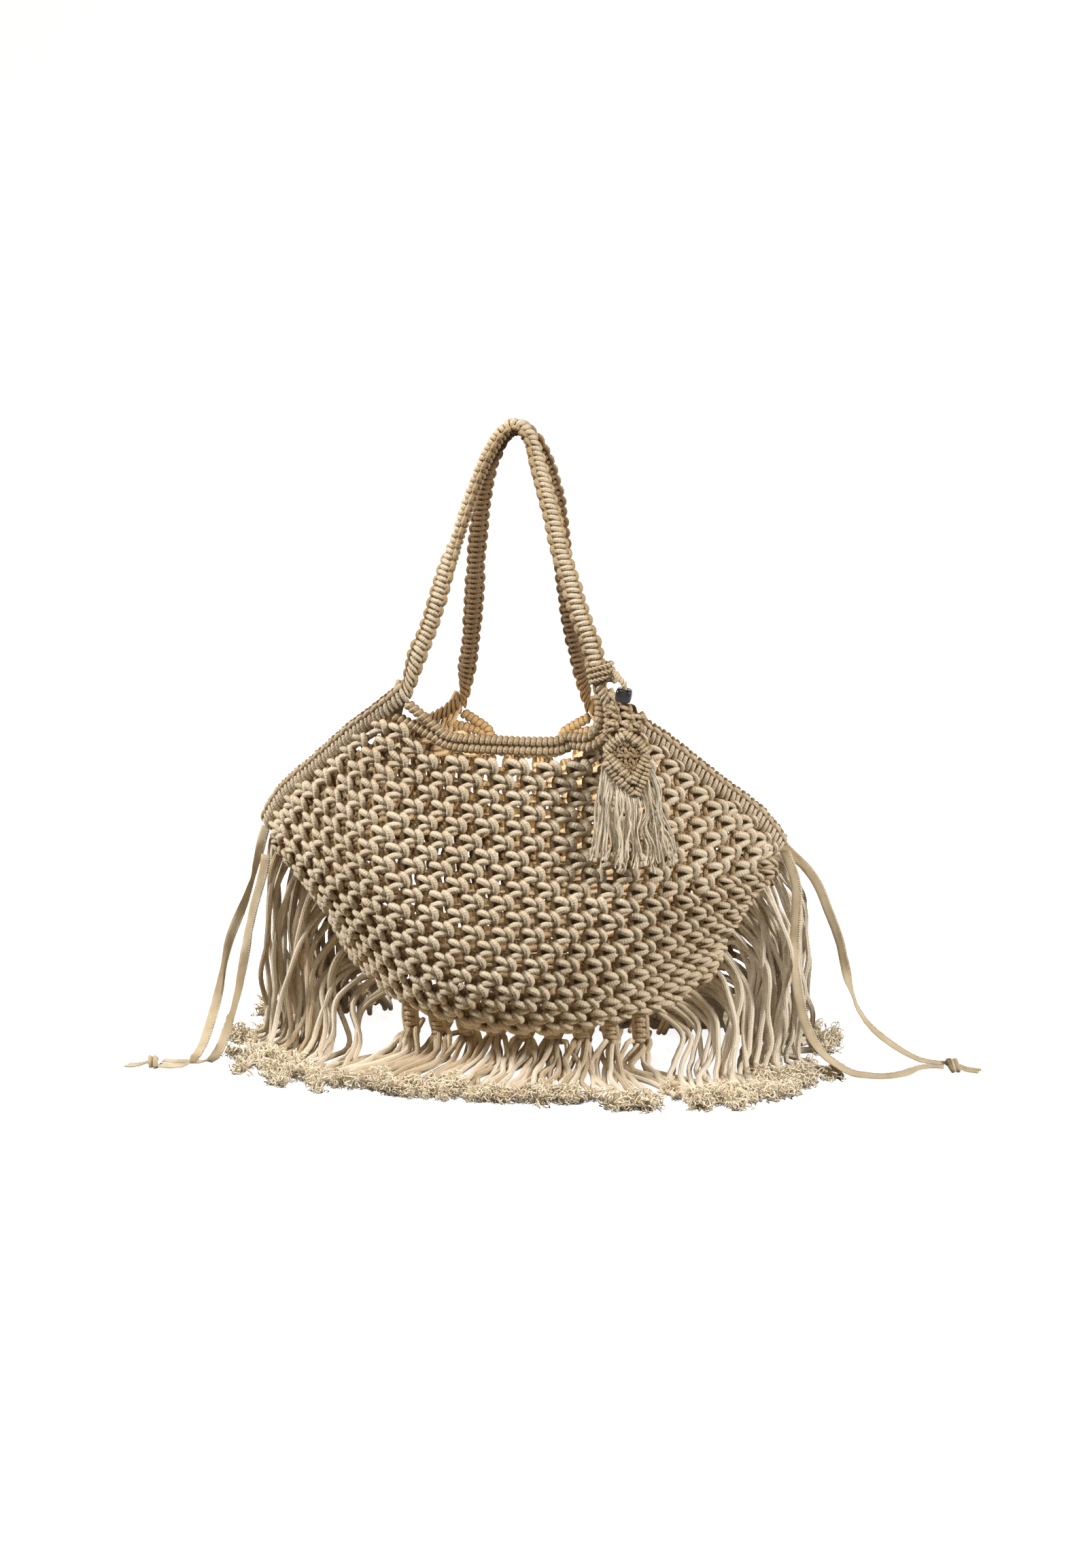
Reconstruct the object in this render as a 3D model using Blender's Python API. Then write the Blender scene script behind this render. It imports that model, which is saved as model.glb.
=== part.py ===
# Macrame shoulder bag standing on its fringe, with two knotted handles, a bead and tassel charm
# at the front and a knotted ribbon tie at each side.
# Metres, +Z up, front towards -Y. Sizes below are in millimetres and MM turns them into metres.

import math

import bmesh
import bpy
import numpy as np
from mathutils import Vector

MM = 0.001

# Cloth of the two panels, laid flat: a hexagon, widest at the side corners
CLOTH_HEIGHT = 305.0
CORNER_HEIGHT = 185.0
SEAM_HALF_WIDTH = 110.0
CORNER_HALF_WIDTH = 232.0
MOUTH_HALF_WIDTH = 88.0
CLOTH_THICKNESS = 8.0
FIT_GAP = 0.35

# Coarse net cut through each panel: diamonds of cloth with a smaller diamond gap in each
NET_PITCH_ACROSS = 50.0
NET_PITCH_UP = 49.0
NET_BAR_HALF_WIDTH = 8.5
NET_EDGE_MARGIN = 1.4
WELD_REACH = 2.5

# How each panel hangs, a row for each height on the flat cloth. Depth is the distance from the
# seam plane, lift_power says how late the ends of a row curl up, and fold is how far the middle
# lies behind the two soft folds that run down from the ends of the mouth.
SECTION_COLUMNS = ("height", "centre", "half_width", "lift_power",
                   "z_middle", "z_edge", "depth_middle", "depth_edge", "fold")
FRONT_SECTIONS = (
    (0.0, 0.0, 105.0, 2.0, 17.0, 17.0, 4.5, 4.5, 0.0),
    (20.0, 0.0, 122.0, 2.0, 18.0, 30.0, 24.0, 4.5, 0.0),
    (45.0, -1.0, 140.0, 2.0, 25.0, 52.0, 49.0, 4.5, 0.0),
    (75.0, -2.0, 155.0, 2.0, 43.0, 82.0, 73.0, 4.5, 0.0),
    (110.0, -4.0, 169.0, 2.0, 72.0, 114.0, 88.0, 4.5, 0.0),
    (145.0, -6.0, 188.0, 2.0, 106.0, 142.0, 94.0, 5.5, 2.0),
    (185.0, -8.0, 208.0, 2.0, 147.0, 178.0, 94.0, 12.0, 5.0),
    (209.0, -9.0, 190.0, 2.3, 171.0, 210.0, 92.0, 24.0, 7.0),
    (239.0, -10.0, 155.0, 2.8, 201.0, 243.0, 89.0, 40.0, 8.0),
    (271.0, -10.0, 117.0, 4.0, 233.0, 278.0, 84.0, 57.0, 6.0),
    (305.0, -10.0, 76.0, 6.0, 268.0, 312.0, 78.0, 71.0, 2.0),
    (330.0, -10.0, 52.0, 6.0, 292.0, 336.0, 74.0, 70.0, 0.0),
)
BACK_SECTIONS = (
    (0.0, 0.0, 105.0, 2.0, 17.0, 17.0, 4.5, 4.5, 0.0),
    (20.0, 0.0, 122.0, 2.0, 18.0, 30.0, 24.0, 4.5, 0.0),
    (45.0, -1.0, 140.0, 2.0, 25.0, 52.0, 48.0, 4.5, 0.0),
    (75.0, -2.0, 155.0, 2.0, 43.0, 82.0, 68.0, 4.5, 0.0),
    (110.0, -4.0, 169.0, 2.0, 71.0, 114.0, 79.0, 4.5, 0.0),
    (145.0, -6.0, 188.0, 2.0, 103.0, 142.0, 82.0, 5.5, 2.0),
    (185.0, -8.0, 206.0, 2.0, 140.0, 178.0, 80.0, 12.0, 4.0),
    (209.0, -10.0, 180.0, 2.2, 160.0, 203.0, 77.0, 24.0, 5.0),
    (239.0, -13.0, 138.0, 2.6, 184.0, 228.0, 73.0, 38.0, 5.0),
    (271.0, -16.0, 94.0, 3.2, 208.0, 252.0, 68.0, 50.0, 4.0),
    (305.0, -17.0, 52.0, 4.0, 232.0, 277.0, 64.0, 60.0, 0.0),
    (330.0, -17.0, 36.0, 4.0, 250.0, 298.0, 62.0, 59.0, 0.0),
)
ROW_ROUNDNESS = 2.3
FOLD_AT = 85.0
FOLD_SOFTNESS = 22.0

# Knotted bands along the sloping edges, and the two handles that continue them. A route is the
# x, y and z of points along the middle of the cord, from its left or upper end.
BAND_WIDTH = 13.0
BAND_THICKNESS = 9.0
BAND_STATIONS = 13
HANDLE_WIDTH = 15.0
HANDLE_THICKNESS = 8.6
HANDLE_STEP = 11.0
HANDLE_FOOT_GAP = 0.4
FRONT_HANDLE_ROUTE = (
    (-80.0, -67.0, 345.0), (-72.0, -60.0, 366.0), (-65.5, -53.0, 390.0), (-59.0, -46.0, 414.0),
    (-53.0, -40.0, 434.0), (-48.0, -34.0, 453.0), (-41.0, -25.0, 477.0), (-33.0, -16.0, 500.0),
    (-23.5, -8.0, 518.0), (-12.0, -5.0, 525.5), (-1.5, -7.0, 515.0), (5.0, -14.0, 497.0),
    (11.0, -22.0, 480.0), (17.0, -30.0, 464.0), (22.5, -36.0, 449.0), (29.0, -43.0, 427.0),
    (37.0, -49.0, 408.0), (44.0, -55.0, 388.0), (51.5, -60.0, 371.0), (59.0, -65.0, 354.0),
)
BACK_HANDLE_ROUTE = (
    (-67.0, 57.0, 304.0), (-61.5, 50.0, 332.0), (-56.0, 40.0, 374.0), (-52.0, 31.0, 412.0),
    (-43.5, 20.0, 468.0), (-34.0, 12.0, 497.0), (-23.5, 6.0, 515.0), (-11.0, 5.0, 521.0),
    (0.5, 6.5, 511.0), (6.0, 11.0, 498.0), (10.0, 16.0, 483.0), (13.0, 20.0, 466.0),
    (15.5, 26.0, 445.0), (18.0, 34.0, 410.0), (20.5, 42.0, 376.0), (24.0, 49.0, 345.0),
    (28.5, 54.0, 322.0),
)

# Two hitched rope rolls along the mouth of each panel
ROLL_RADIUS = 3.3
ROLL_RISES = (("lower", 3.7), ("upper", 10.7))
ROLL_REACH = 86.0
ROLL_STATIONS = 18
ROLL_SIDES = 6

# Fringe: strips that hang from a head along the seam and spread over the floor
SIDE_HEAD_START = 1.2
SEAM_HEAD_START = 3.2
HEAD_END = 8.0
HEAD_THICKNESS = 8.2
STRIP_THICKNESS = 7.0
STRIP_WIDTH = 13.0
STRIP_STEPS = 6
SIDE_STRIPS = 9
SEAM_STRIPS = 10
STRIP_FILL = 0.6
TALL_STRIP = 30.0
TALL_LANDING = 0.75
LOW_LANDING = 0.16
SEAM_FRINGE_REACH = 150.0
FRINGE_BOW = 0.00135
FRONT_BOW_MIDDLE = -40.0
SPREAD = 1.12
FRONT_SHIFT = -14.0
SIDE_FRINGE_REACH = 253.0
SIDE_FRINGE_DEPTH = 126.0
SIDE_TURN_FIRST = 8.0
SIDE_TURN_RANGE = 52.0
CORNER_CLEARANCE = 8.0

# Bead and tassel charm, tied to the right foot of the front handle. Leaf places are measured
# from the middle of its top edge.
CHARM_RING_RADIUS = 2.3
CHARM_RING_GAP = 0.6
CHARM_RING_STRETCH = 1.8
CHARM_RING_STATIONS = 16
CHARM_CORD_START = (11.5, 9.5)
CHARM_CORD_RADIUS = 2.0
CHARM_CORD_STEP = 3.0
CHARM_CORD_RISES = (2.3, 1.5, 0.7, -1.0)
BEAD_CENTRE = (87.5, -87.5, 322.0)
BEAD_WIDTH = 13.3
BEAD_HEIGHT = 10.6
BEAD_BORE_RADIUS = 3.0
BEAD_EDGE = 1.1
BEAD_SIDES = 16
LEAF_TOP = (87.5, -87.5, 314.0)
LEAF_THICKNESS = 5.0
LEAF_LEAN = 0.08
LEAF_OUTLINE = (("top_left", -9.5, 0.0), ("left", -13.5, -38.0), ("tip", 11.5, -70.0),
                ("right", 20.5, -36.0), ("top_right", 9.5, 0.0))
YARN_SPANS = ((0, 1), (2, 3), (4, 5), (6, 8), (9, 10), (11, 12), (13, 14))
YARN_THICKNESS = 4.5
YARN_HEAD_GAP = 0.7
YARN_HEAD_DEPTH = 6.0
YARN_BOTTOM = -129.0
YARN_LEFT = -24.0
YARN_RIGHT = 44.0

# Ribbon ties: flat tape knotted to itself at its end, one at each side corner
TAPE_WIDTH = 8.0
TAPE_POINT_STEP = 18.0
LEFT_TIE_OUTER_ROUTE = (
    (-223.7, -9.4, 181.9), (-227.0, -9.5, 172.0), (-231.0, -12.5, 154.0), (-237.0, -16.0, 131.0),
    (-244.0, -19.0, 112.0), (-251.0, -25.0, 93.0),
    (-254.0, -33.0, 78.0), (-255.0, -45.0, 60.0), (-256.5, -58.0, 42.0), (-258.0, -73.0, 28.0),
    (-259.0, -90.0, 17.0), (-262.0, -107.0, 10.0), (-269.0, -112.5, 5.5), (-279.0, -112.0, 4.4),
    (-290.0, -111.8, 4.4),
)
LEFT_TIE_INNER_ROUTE = (
    (-222.4, -16.6, 160.0), (-224.0, -20.5, 145.0), (-228.5, -26.0, 126.0), (-233.0, -32.0, 104.0),
    (-236.0, -43.0, 76.0),
    (-239.0, -56.0, 48.0), (-243.0, -70.0, 27.0), (-246.0, -83.0, 13.0), (-250.5, -93.0, 6.0),
    (-261.0, -98.5, 4.4), (-276.0, -100.5, 4.4), (-290.0, -100.5, 4.4),
)
RIGHT_TIE_INNER_ROUTE = (
    (207.5, -9.5, 181.8), (210.5, -9.6, 175.0), (216.0, -12.5, 163.0), (219.0, -16.0, 150.0),
    (219.0, -20.0, 130.0), (219.0, -26.0, 106.0),
    (221.0, -33.0, 86.0), (225.0, -39.0, 66.0), (231.0, -43.0, 46.0), (241.0, -44.0, 28.0),
    (254.0, -41.0, 15.0), (268.0, -38.0, 6.5), (282.0, -37.0, 4.4), (298.0, -35.0, 4.4),
    (310.0, -27.0, 4.4), (319.0, -14.0, 4.4), (329.0, -6.5, 4.4), (341.0, -6.0, 4.4),
)
RIGHT_TIE_OUTER_ROUTE = (
    (203.2, 10.6, 182.4), (212.0, 9.6, 174.0), (224.0, 9.0, 163.0), (234.0, 8.6, 149.0),
    (243.0, 8.0, 128.0), (252.0, 6.0, 106.0),
    (257.0, 3.0, 88.0), (262.0, -1.0, 70.0), (270.0, -5.0, 50.0), (282.0, -6.0, 34.0),
    (298.0, 1.0, 19.0), (314.0, 6.0, 8.0), (328.0, 4.8, 4.5), (341.0, 4.4, 4.4),
)
TIE_KNOT_START = 1.0
TIE_KNOT_BASE = 0.1

# Knot and tape ends: distance along, half width and height above the floor of each section
TIE_KNOT_SHAPE = ((0.0, 8.6, 7.6), (3.5, 9.4, 9.4), (8.0, 9.0, 9.8), (12.5, 6.0, 8.6),
                  (15.0, 3.2, 5.0), (22.0, 4.0, 2.6), (31.0, 4.0, 2.2))
TIE_KNOT_OUTLINE = ((-1.0, 0.25), (-0.8, 0.0), (0.8, 0.0), (1.0, 0.25),
                    (1.0, 0.65), (0.6, 1.0), (-0.6, 1.0), (-1.0, 0.65))


# Materials

def make_material(name, colour, roughness):
    material = bpy.data.materials.new(name)
    material.use_nodes = True
    shader = material.node_tree.nodes["Principled BSDF"]
    shader.inputs["Base Color"].default_value = (*colour, 1.0)
    shader.inputs["Roughness"].default_value = roughness
    material.diffuse_color = (*colour, 1.0)
    return material


# Mesh helpers

def add_object(name, mesh, material):
    shape = bpy.data.objects.new(name, mesh)
    bpy.context.scene.collection.objects.link(shape)
    mesh.materials.clear()
    mesh.materials.append(material)
    return shape


def add_solid(name, points, faces, material, smooth_angle=35.0):
    """Makes an object from points in millimetres and closed faces, turned to face outwards."""
    mesh = bpy.data.meshes.new(name)
    mesh.from_pydata([Vector(point) * MM for point in points], [], faces)
    shape = bmesh.new()
    shape.from_mesh(mesh)
    bmesh.ops.recalc_face_normals(shape, faces=shape.faces)
    if shape.calc_volume(signed=True) < 0.0:
        bmesh.ops.reverse_faces(shape, faces=shape.faces)
    shape.to_mesh(mesh)
    shape.free()
    mesh.shade_smooth()
    mesh.set_sharp_from_angle(angle=math.radians(smooth_angle))
    return add_object(name, mesh, material)


def add_thick_sheet(name, corners, faces, place, material):
    """Thickens a sheet: place(corner, side) gives the point on side +1 or -1 of the sheet."""
    count = len(corners)
    points = [place(corner, 1.0) for corner in corners] + [place(corner, -1.0) for corner in corners]
    solid_faces = [tuple(face) for face in faces]
    solid_faces += [tuple(index + count for index in reversed(face)) for face in faces]
    edges = {(face[i], face[(i + 1) % len(face)]) for face in faces for i in range(len(face))}
    for start, end in sorted(edges):
        if (end, start) not in edges:
            solid_faces.append((end, start, start + count, end + count))
    return add_solid(name, points, solid_faces, material)


def add_loft(name, rings, material, closed=False):
    """Joins rings of equal point counts into one solid, with end caps unless the loft is closed."""
    sides = len(rings[0])
    points = [point for ring in rings for point in ring]
    faces = []
    for station in range(len(rings) if closed else len(rings) - 1):
        here = station * sides
        there = (station + 1) % len(rings) * sides
        for side in range(sides):
            after = (side + 1) % sides
            faces.append((here + side, here + after, there + after, there + side))
    if not closed:
        faces.append(tuple(reversed(range(sides))))
        faces.append(tuple((len(rings) - 1) * sides + side for side in range(sides)))
    return add_solid(name, points, faces, material)


def flat_section(width, thickness):
    """Eight points round a flattened cord section, as offsets across and outwards."""
    return [(width * 0.5, -thickness * 0.22), (width * 0.5, thickness * 0.22),
            (width * 0.28, thickness * 0.5), (-width * 0.28, thickness * 0.5),
            (-width * 0.5, thickness * 0.22), (-width * 0.5, -thickness * 0.22),
            (-width * 0.28, -thickness * 0.5), (width * 0.28, -thickness * 0.5)]


def round_section(radius, sides):
    turns = [2.0 * math.pi * side / sides for side in range(sides)]
    return [(radius * math.cos(turn), radius * math.sin(turn)) for turn in turns]


def add_tube(name, route, step, radius, material):
    """A round cord along a smooth curve, with closed ends."""
    points = smooth_route(route, step)
    curve = bpy.data.curves.new(name, "CURVE")
    curve.dimensions = "3D"
    curve.bevel_depth = radius * MM
    curve.bevel_resolution = 2
    curve.use_fill_caps = True
    line = curve.splines.new("POLY")
    line.points.add(len(points) - 1)
    for target, point in zip(line.points, points):
        target.co = (*(point * MM), 1.0)
    curve.materials.append(material)
    shape = bpy.data.objects.new(name, curve)
    bpy.context.scene.collection.objects.link(shape)
    return shape


def smooth_route(route, step):
    """Points about one step apart along a smooth curve through the route's own points."""
    knots = [Vector(point) for point in route]
    ends = [knots[0] * 2.0 - knots[1]] + knots + [knots[-1] * 2.0 - knots[-2]]
    fine = []
    for index in range(1, len(ends) - 2):
        before, start, end, after = ends[index - 1:index + 3]
        for part in range(20):
            t = part / 20.0
            fine.append(0.5 * ((2.0 * start) + (end - before) * t
                               + (2.0 * before - 5.0 * start + 4.0 * end - after) * t ** 2
                               + (3.0 * start - before - 3.0 * end + after) * t ** 3))
    fine.append(knots[-1])
    gaps = [(after - before).length for before, after in zip(fine, fine[1:])]
    lengths = np.concatenate(([0.0], np.cumsum(gaps)))
    count = max(2, round(lengths[-1] / step) + 1)
    wanted = np.linspace(0.0, lengths[-1], count)
    columns = [np.interp(wanted, lengths, [point[axis] for point in fine]) for axis in range(3)]
    return [Vector(point) for point in zip(*columns)]


# The hanging cloth

def flat_half_width(height):
    """Half width of the flat cloth at a height on it."""
    if height <= CORNER_HEIGHT:
        return SEAM_HALF_WIDTH + (CORNER_HALF_WIDTH - SEAM_HALF_WIDTH) * height / CORNER_HEIGHT
    rise = (height - CORNER_HEIGHT) / (CLOTH_HEIGHT - CORNER_HEIGHT)
    return CORNER_HALF_WIDTH + (MOUTH_HALF_WIDTH - CORNER_HALF_WIDTH) * rise


def smooth_column(heights, values, height):
    """Smooth value between table rows, by a cubic with the rows' mean slopes."""
    slopes = np.gradient(values, heights)
    row = int(np.clip(np.searchsorted(heights, height) - 1, 0, len(heights) - 2))
    span = heights[row + 1] - heights[row]
    t = (height - heights[row]) / span
    return ((2 * t ** 3 - 3 * t ** 2 + 1) * values[row] + (t ** 3 - 2 * t ** 2 + t) * span * slopes[row]
            + (3 * t ** 2 - 2 * t ** 3) * values[row + 1] + (t ** 3 - t ** 2) * span * slopes[row + 1])


class Panel:
    """One hanging panel: front with facing -1, back with facing +1."""

    def __init__(self, name, facing, sections):
        self.name = name
        self.facing = facing
        table = np.array(sections)
        self.heights = table[:, 0]
        self.columns = {column: table[:, index] for index, column in enumerate(SECTION_COLUMNS)}

    def middle(self, across, height):
        """Point on the middle of the cloth for a place on the flat cloth."""
        row = {name: smooth_column(self.heights, values, height) for name, values in self.columns.items()}
        share = across / flat_half_width(height)
        inside = min(abs(share), 1.0)
        beyond = abs(share) - inside
        x = row["centre"] + row["half_width"] * share * (1.06 - 0.06 * min(abs(share), 1.3) ** 2)
        z = row["z_middle"] + (row["z_edge"] - row["z_middle"]) * inside ** row["lift_power"]
        bulge = 1.0 - inside ** ROW_ROUNDNESS - beyond
        depth = row["depth_edge"] + (row["depth_middle"] - row["depth_edge"]) * bulge
        depth -= row["fold"] / (1.0 + math.exp((abs(across) - FOLD_AT) * 4.0 / FOLD_SOFTNESS))
        return Vector((x, self.facing * depth, z))

    def place(self, across, height, out=0.0):
        """The same point moved outwards, square to the cloth."""
        point = self.middle(across, height)
        if out == 0.0:
            return point
        sideways = self.middle(across + 2.0, height) - self.middle(across - 2.0, height)
        upwards = self.middle(across, height + 2.0) - self.middle(across, max(height - 2.0, 0.0))
        normal = sideways.cross(upwards).normalized() * -self.facing
        return point + normal * out


def slope_place(share, outward, side):
    """Flat place beside the sloping edge: share runs from the corner up to the mouth."""
    run = Vector((MOUTH_HALF_WIDTH - CORNER_HALF_WIDTH, CLOTH_HEIGHT - CORNER_HEIGHT)).normalized()
    across = CORNER_HALF_WIDTH + (MOUTH_HALF_WIDTH - CORNER_HALF_WIDTH) * share + run.y * outward
    height = CORNER_HEIGHT + (CLOTH_HEIGHT - CORNER_HEIGHT) * share - run.x * outward
    return side * across, height


def flat_net():
    """Flat corners and faces of the hexagon, tiled with diamonds that each have a gap."""
    rows = math.ceil(CLOTH_HEIGHT / NET_PITCH_UP * 2.0) + 1
    columns = math.ceil(CORNER_HALF_WIDTH / NET_PITCH_ACROSS * 2.0) + 1
    net = bmesh.new()
    corners = {}
    for column in range(-columns, columns + 1):
        for row in range(-1, rows + 1):
            if (column + row) % 2 == 0:
                place = (column * NET_PITCH_ACROSS / 2.0, row * NET_PITCH_UP / 2.0, 0.0)
                corners[column, row] = net.verts.new(place)
    for column, row in corners:
        around = ((column, row), (column + 1, row + 1), (column, row + 2), (column - 1, row + 1))
        if all(place in corners for place in around):
            net.faces.new([corners[place] for place in around])
    corner = Vector((CORNER_HALF_WIDTH, CORNER_HEIGHT, 0.0))
    for point, outward in outline_cuts(corner):
        bmesh.ops.bisect_plane(net, geom=net.verts[:] + net.edges[:] + net.faces[:],
                               plane_co=point, plane_no=outward, clear_outer=True)
    bmesh.ops.remove_doubles(net, verts=net.verts, dist=WELD_REACH)
    whole = [face for face in net.faces if len(face.verts) == 4 and inside_margin(face)]
    bmesh.ops.inset_individual(net, faces=whole, thickness=NET_BAR_HALF_WIDTH)
    bmesh.ops.delete(net, geom=whole, context="FACES")
    divide_edges(net)
    net.verts.index_update()
    places = [(vertex.co.x, vertex.co.y) for vertex in net.verts]
    faces = [tuple(vertex.index for vertex in face.verts) for face in net.faces]
    net.free()
    return places, faces


def outline_cuts(corner):
    """Points and outward directions of the six edges of the flat hexagon."""
    yield Vector((0.0, 0.0, 0.0)), Vector((0.0, -1.0, 0.0))
    yield Vector((0.0, CLOTH_HEIGHT, 0.0)), Vector((0.0, 1.0, 0.0))
    lower = Vector((CORNER_HALF_WIDTH - SEAM_HALF_WIDTH, CORNER_HEIGHT, 0.0))
    upper = Vector((MOUTH_HALF_WIDTH - CORNER_HALF_WIDTH, CLOTH_HEIGHT - CORNER_HEIGHT, 0.0))
    for side in (-1.0, 1.0):
        point = Vector((side * corner.x, corner.y, 0.0))
        yield point, Vector((side * lower.y, -lower.x, 0.0))
        yield point, Vector((side * upper.y, -upper.x, 0.0))


def divide_edges(net):
    """Extra corners along the mouth and the slopes, level with the stations of their trims."""
    for across in roll_stations():
        top = [face for face in net.faces if any(vertex.co.y > CLOTH_HEIGHT - 0.1 for vertex in face.verts)]
        cut_faces(net, top, Vector((across, CLOTH_HEIGHT, 0.0)), Vector((1.0, 0.0, 0.0)))
    for side in (-1.0, 1.0):
        run = Vector(slope_place(1.0, 0.0, side)) - Vector(slope_place(0.0, 0.0, side))
        for station in range(1, BAND_STATIONS):
            point = Vector(slope_place(station / BAND_STATIONS, 0.0, side))
            beside = [face for face in net.faces if touches_slope(face, side)]
            cut_faces(net, beside, point.to_3d(), run.to_3d())


def cut_faces(net, faces, point, direction):
    around = {edge for face in faces for edge in face.edges}
    corners = {vertex for face in faces for vertex in face.verts}
    bmesh.ops.bisect_plane(net, geom=list(corners) + list(around) + faces,
                           plane_co=point, plane_no=direction)


def touches_slope(face, side):
    return any(vertex.co.x * side > 0.0 and vertex.co.y > CORNER_HEIGHT - 0.1
               and abs(vertex.co.x) > flat_half_width(vertex.co.y) - 0.1 for vertex in face.verts)


def roll_stations():
    """Places along the mouth, closer together towards its curled ends."""
    shares = [station / ROLL_STATIONS for station in range(ROLL_STATIONS + 1)]
    curled = [math.sin(math.pi * (share - 0.5)) for share in shares]
    even = [2.0 * share - 1.0 for share in shares]
    return [ROLL_REACH * (0.8 * turn + 0.2 * step) for turn, step in zip(curled, even)]


def inside_margin(face):
    """True for a full diamond that lies clear of the cloth's edges."""
    full = NET_PITCH_ACROSS * NET_PITCH_UP / 2.0
    if face.calc_area() < full * 0.98:
        return False
    return all(abs(vertex.co.x) < flat_half_width(vertex.co.y) - NET_EDGE_MARGIN
               and vertex.co.y > NET_EDGE_MARGIN for vertex in face.verts)


def make_panel(panel, cotton):
    places, faces = flat_net()
    half = CLOTH_THICKNESS / 2.0
    return add_thick_sheet(f"{panel.name}_net", places, faces,
                           lambda place, side: panel.place(place[0], place[1], side * half), cotton)


def make_edge_bands(panel, cotton):
    section = flat_section(BAND_WIDTH, BAND_THICKNESS)
    middle = FIT_GAP + BAND_WIDTH / 2.0
    for side, label in ((-1.0, "left"), (1.0, "right")):
        rings = []
        for station in range(BAND_STATIONS + 1):
            share = station / BAND_STATIONS
            ring = []
            for across, out in section:
                place = slope_place(share, middle + across, side)
                ring.append(panel.place(place[0], place[1], out))
            rings.append(ring)
        add_loft(f"{panel.name}_{label}_edge_band", rings, cotton)


def make_rolls(panel, cotton):
    for label, rise in ROLL_RISES:
        rings = []
        for across in roll_stations():
            edge = panel.place(across, CLOTH_HEIGHT)
            along = panel.place(across + 1.0, CLOTH_HEIGHT) - panel.place(across - 1.0, CLOTH_HEIGHT)
            outward = (panel.place(across, CLOTH_HEIGHT, 1.0) - edge).normalized()
            upward = outward.cross(along.normalized()) * -panel.facing
            rings.append([edge + upward * (rise + up) + outward * out
                          for up, out in round_section(ROLL_RADIUS, ROLL_SIDES)])
        add_loft(f"{panel.name}_{label}_roll", rings, cotton)


# Handles

def band_end(panel, side):
    """Middle of a band's top end, the direction in which the band leaves it and its outer side."""
    middle = FIT_GAP + BAND_WIDTH / 2.0
    place = slope_place(1.0, middle, side)
    inner = panel.place(*slope_place(1.0, FIT_GAP, side))
    outer = panel.place(*slope_place(1.0, FIT_GAP + BAND_WIDTH, side))
    end = panel.place(*place)
    outward = (panel.place(place[0], place[1], 1.0) - end).normalized()
    across = (outer - inner).normalized() * side
    along = across.cross(outward).normalized()
    return end, along * (1.0 if along.z > 0.0 else -1.0), across, outward


def handle_frames(panel, route):
    """Station points with their across and outward directions; the ends sit square on the bands."""
    left_end, left_along, left_across, left_outward = band_end(panel, -1.0)
    right_end, right_along, right_across, right_outward = band_end(panel, 1.0)
    start = left_end + left_along * HANDLE_FOOT_GAP
    finish = right_end + right_along * HANDLE_FOOT_GAP
    points = smooth_route([start, *route, finish], HANDLE_STEP)
    frames = []
    for index, point in enumerate(points):
        ahead = points[min(index + 1, len(points) - 1)]
        behind = points[max(index - 1, 0)]
        along = (ahead - behind).normalized()
        across = along.cross(Vector((0.0, -1.0, 0.0))).normalized()
        outward = across.cross(along).normalized() * -panel.facing
        frames.append([point, across, outward])
    frames[0][1:] = [left_across, left_outward]
    frames[-1][1:] = [-right_across, right_outward]
    return frames


def make_handle(panel, route, cotton):
    section = flat_section(HANDLE_WIDTH, HANDLE_THICKNESS)
    rings = [[point + across * over + outward * out for over, out in section]
             for point, across, outward in handle_frames(panel, route)]
    return add_loft(f"{panel.name}_handle", rings, cotton)


# Fringe

def seam_line(panel):
    """The seam from the left corner along the bottom to the right corner, in the plane y = 0."""
    levels = np.linspace(CORNER_HEIGHT, 0.0, 30)
    left = [panel.middle(-flat_half_width(level), level) for level in levels]
    right = [panel.middle(flat_half_width(level), level) for level in reversed(levels)]
    bottom = [left[-1].lerp(right[0], share) for share in np.linspace(0.0, 1.0, 12)[1:-1]]
    return [Vector((point.x, 0.0, point.z)) for point in [*left, *bottom, *right]]


class Seam:
    """Places along the seam by distance, with the direction away from the bag."""

    def __init__(self, points):
        self.points = points
        gaps = [(after - before).length for before, after in zip(points, points[1:])]
        self.lengths = np.concatenate(([0.0], np.cumsum(gaps)))

    def at(self, distance):
        return Vector([float(np.interp(distance, self.lengths, [p[axis] for p in self.points]))
                       for axis in range(3)])

    def along(self, distance):
        return (self.at(distance + 8.0) - self.at(distance - 8.0)).normalized()

    def away(self, distance):
        along = self.along(distance)
        return Vector((along.z, 0.0, -along.x))


def strip_route(start, away, end):
    """Smooth fall from the seam to the floor, then straight to the strip's end."""
    landing = start.lerp(end, TALL_LANDING if start.z > TALL_STRIP else LOW_LANDING)
    landing.z = end.z
    drop = start.z - landing.z
    first = start + away * (2.0 + 0.2 * drop)
    second = landing + Vector((0.0, 0.0, 0.45 * drop))
    fall = []
    for step in range(STRIP_STEPS):
        t = step / (STRIP_STEPS - 1.0)
        fall.append(start * (1 - t) ** 3 + first * 3 * t * (1 - t) ** 2
                    + second * 3 * t ** 2 * (1 - t) + landing * t ** 3)
    return [*fall, end]


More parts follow.
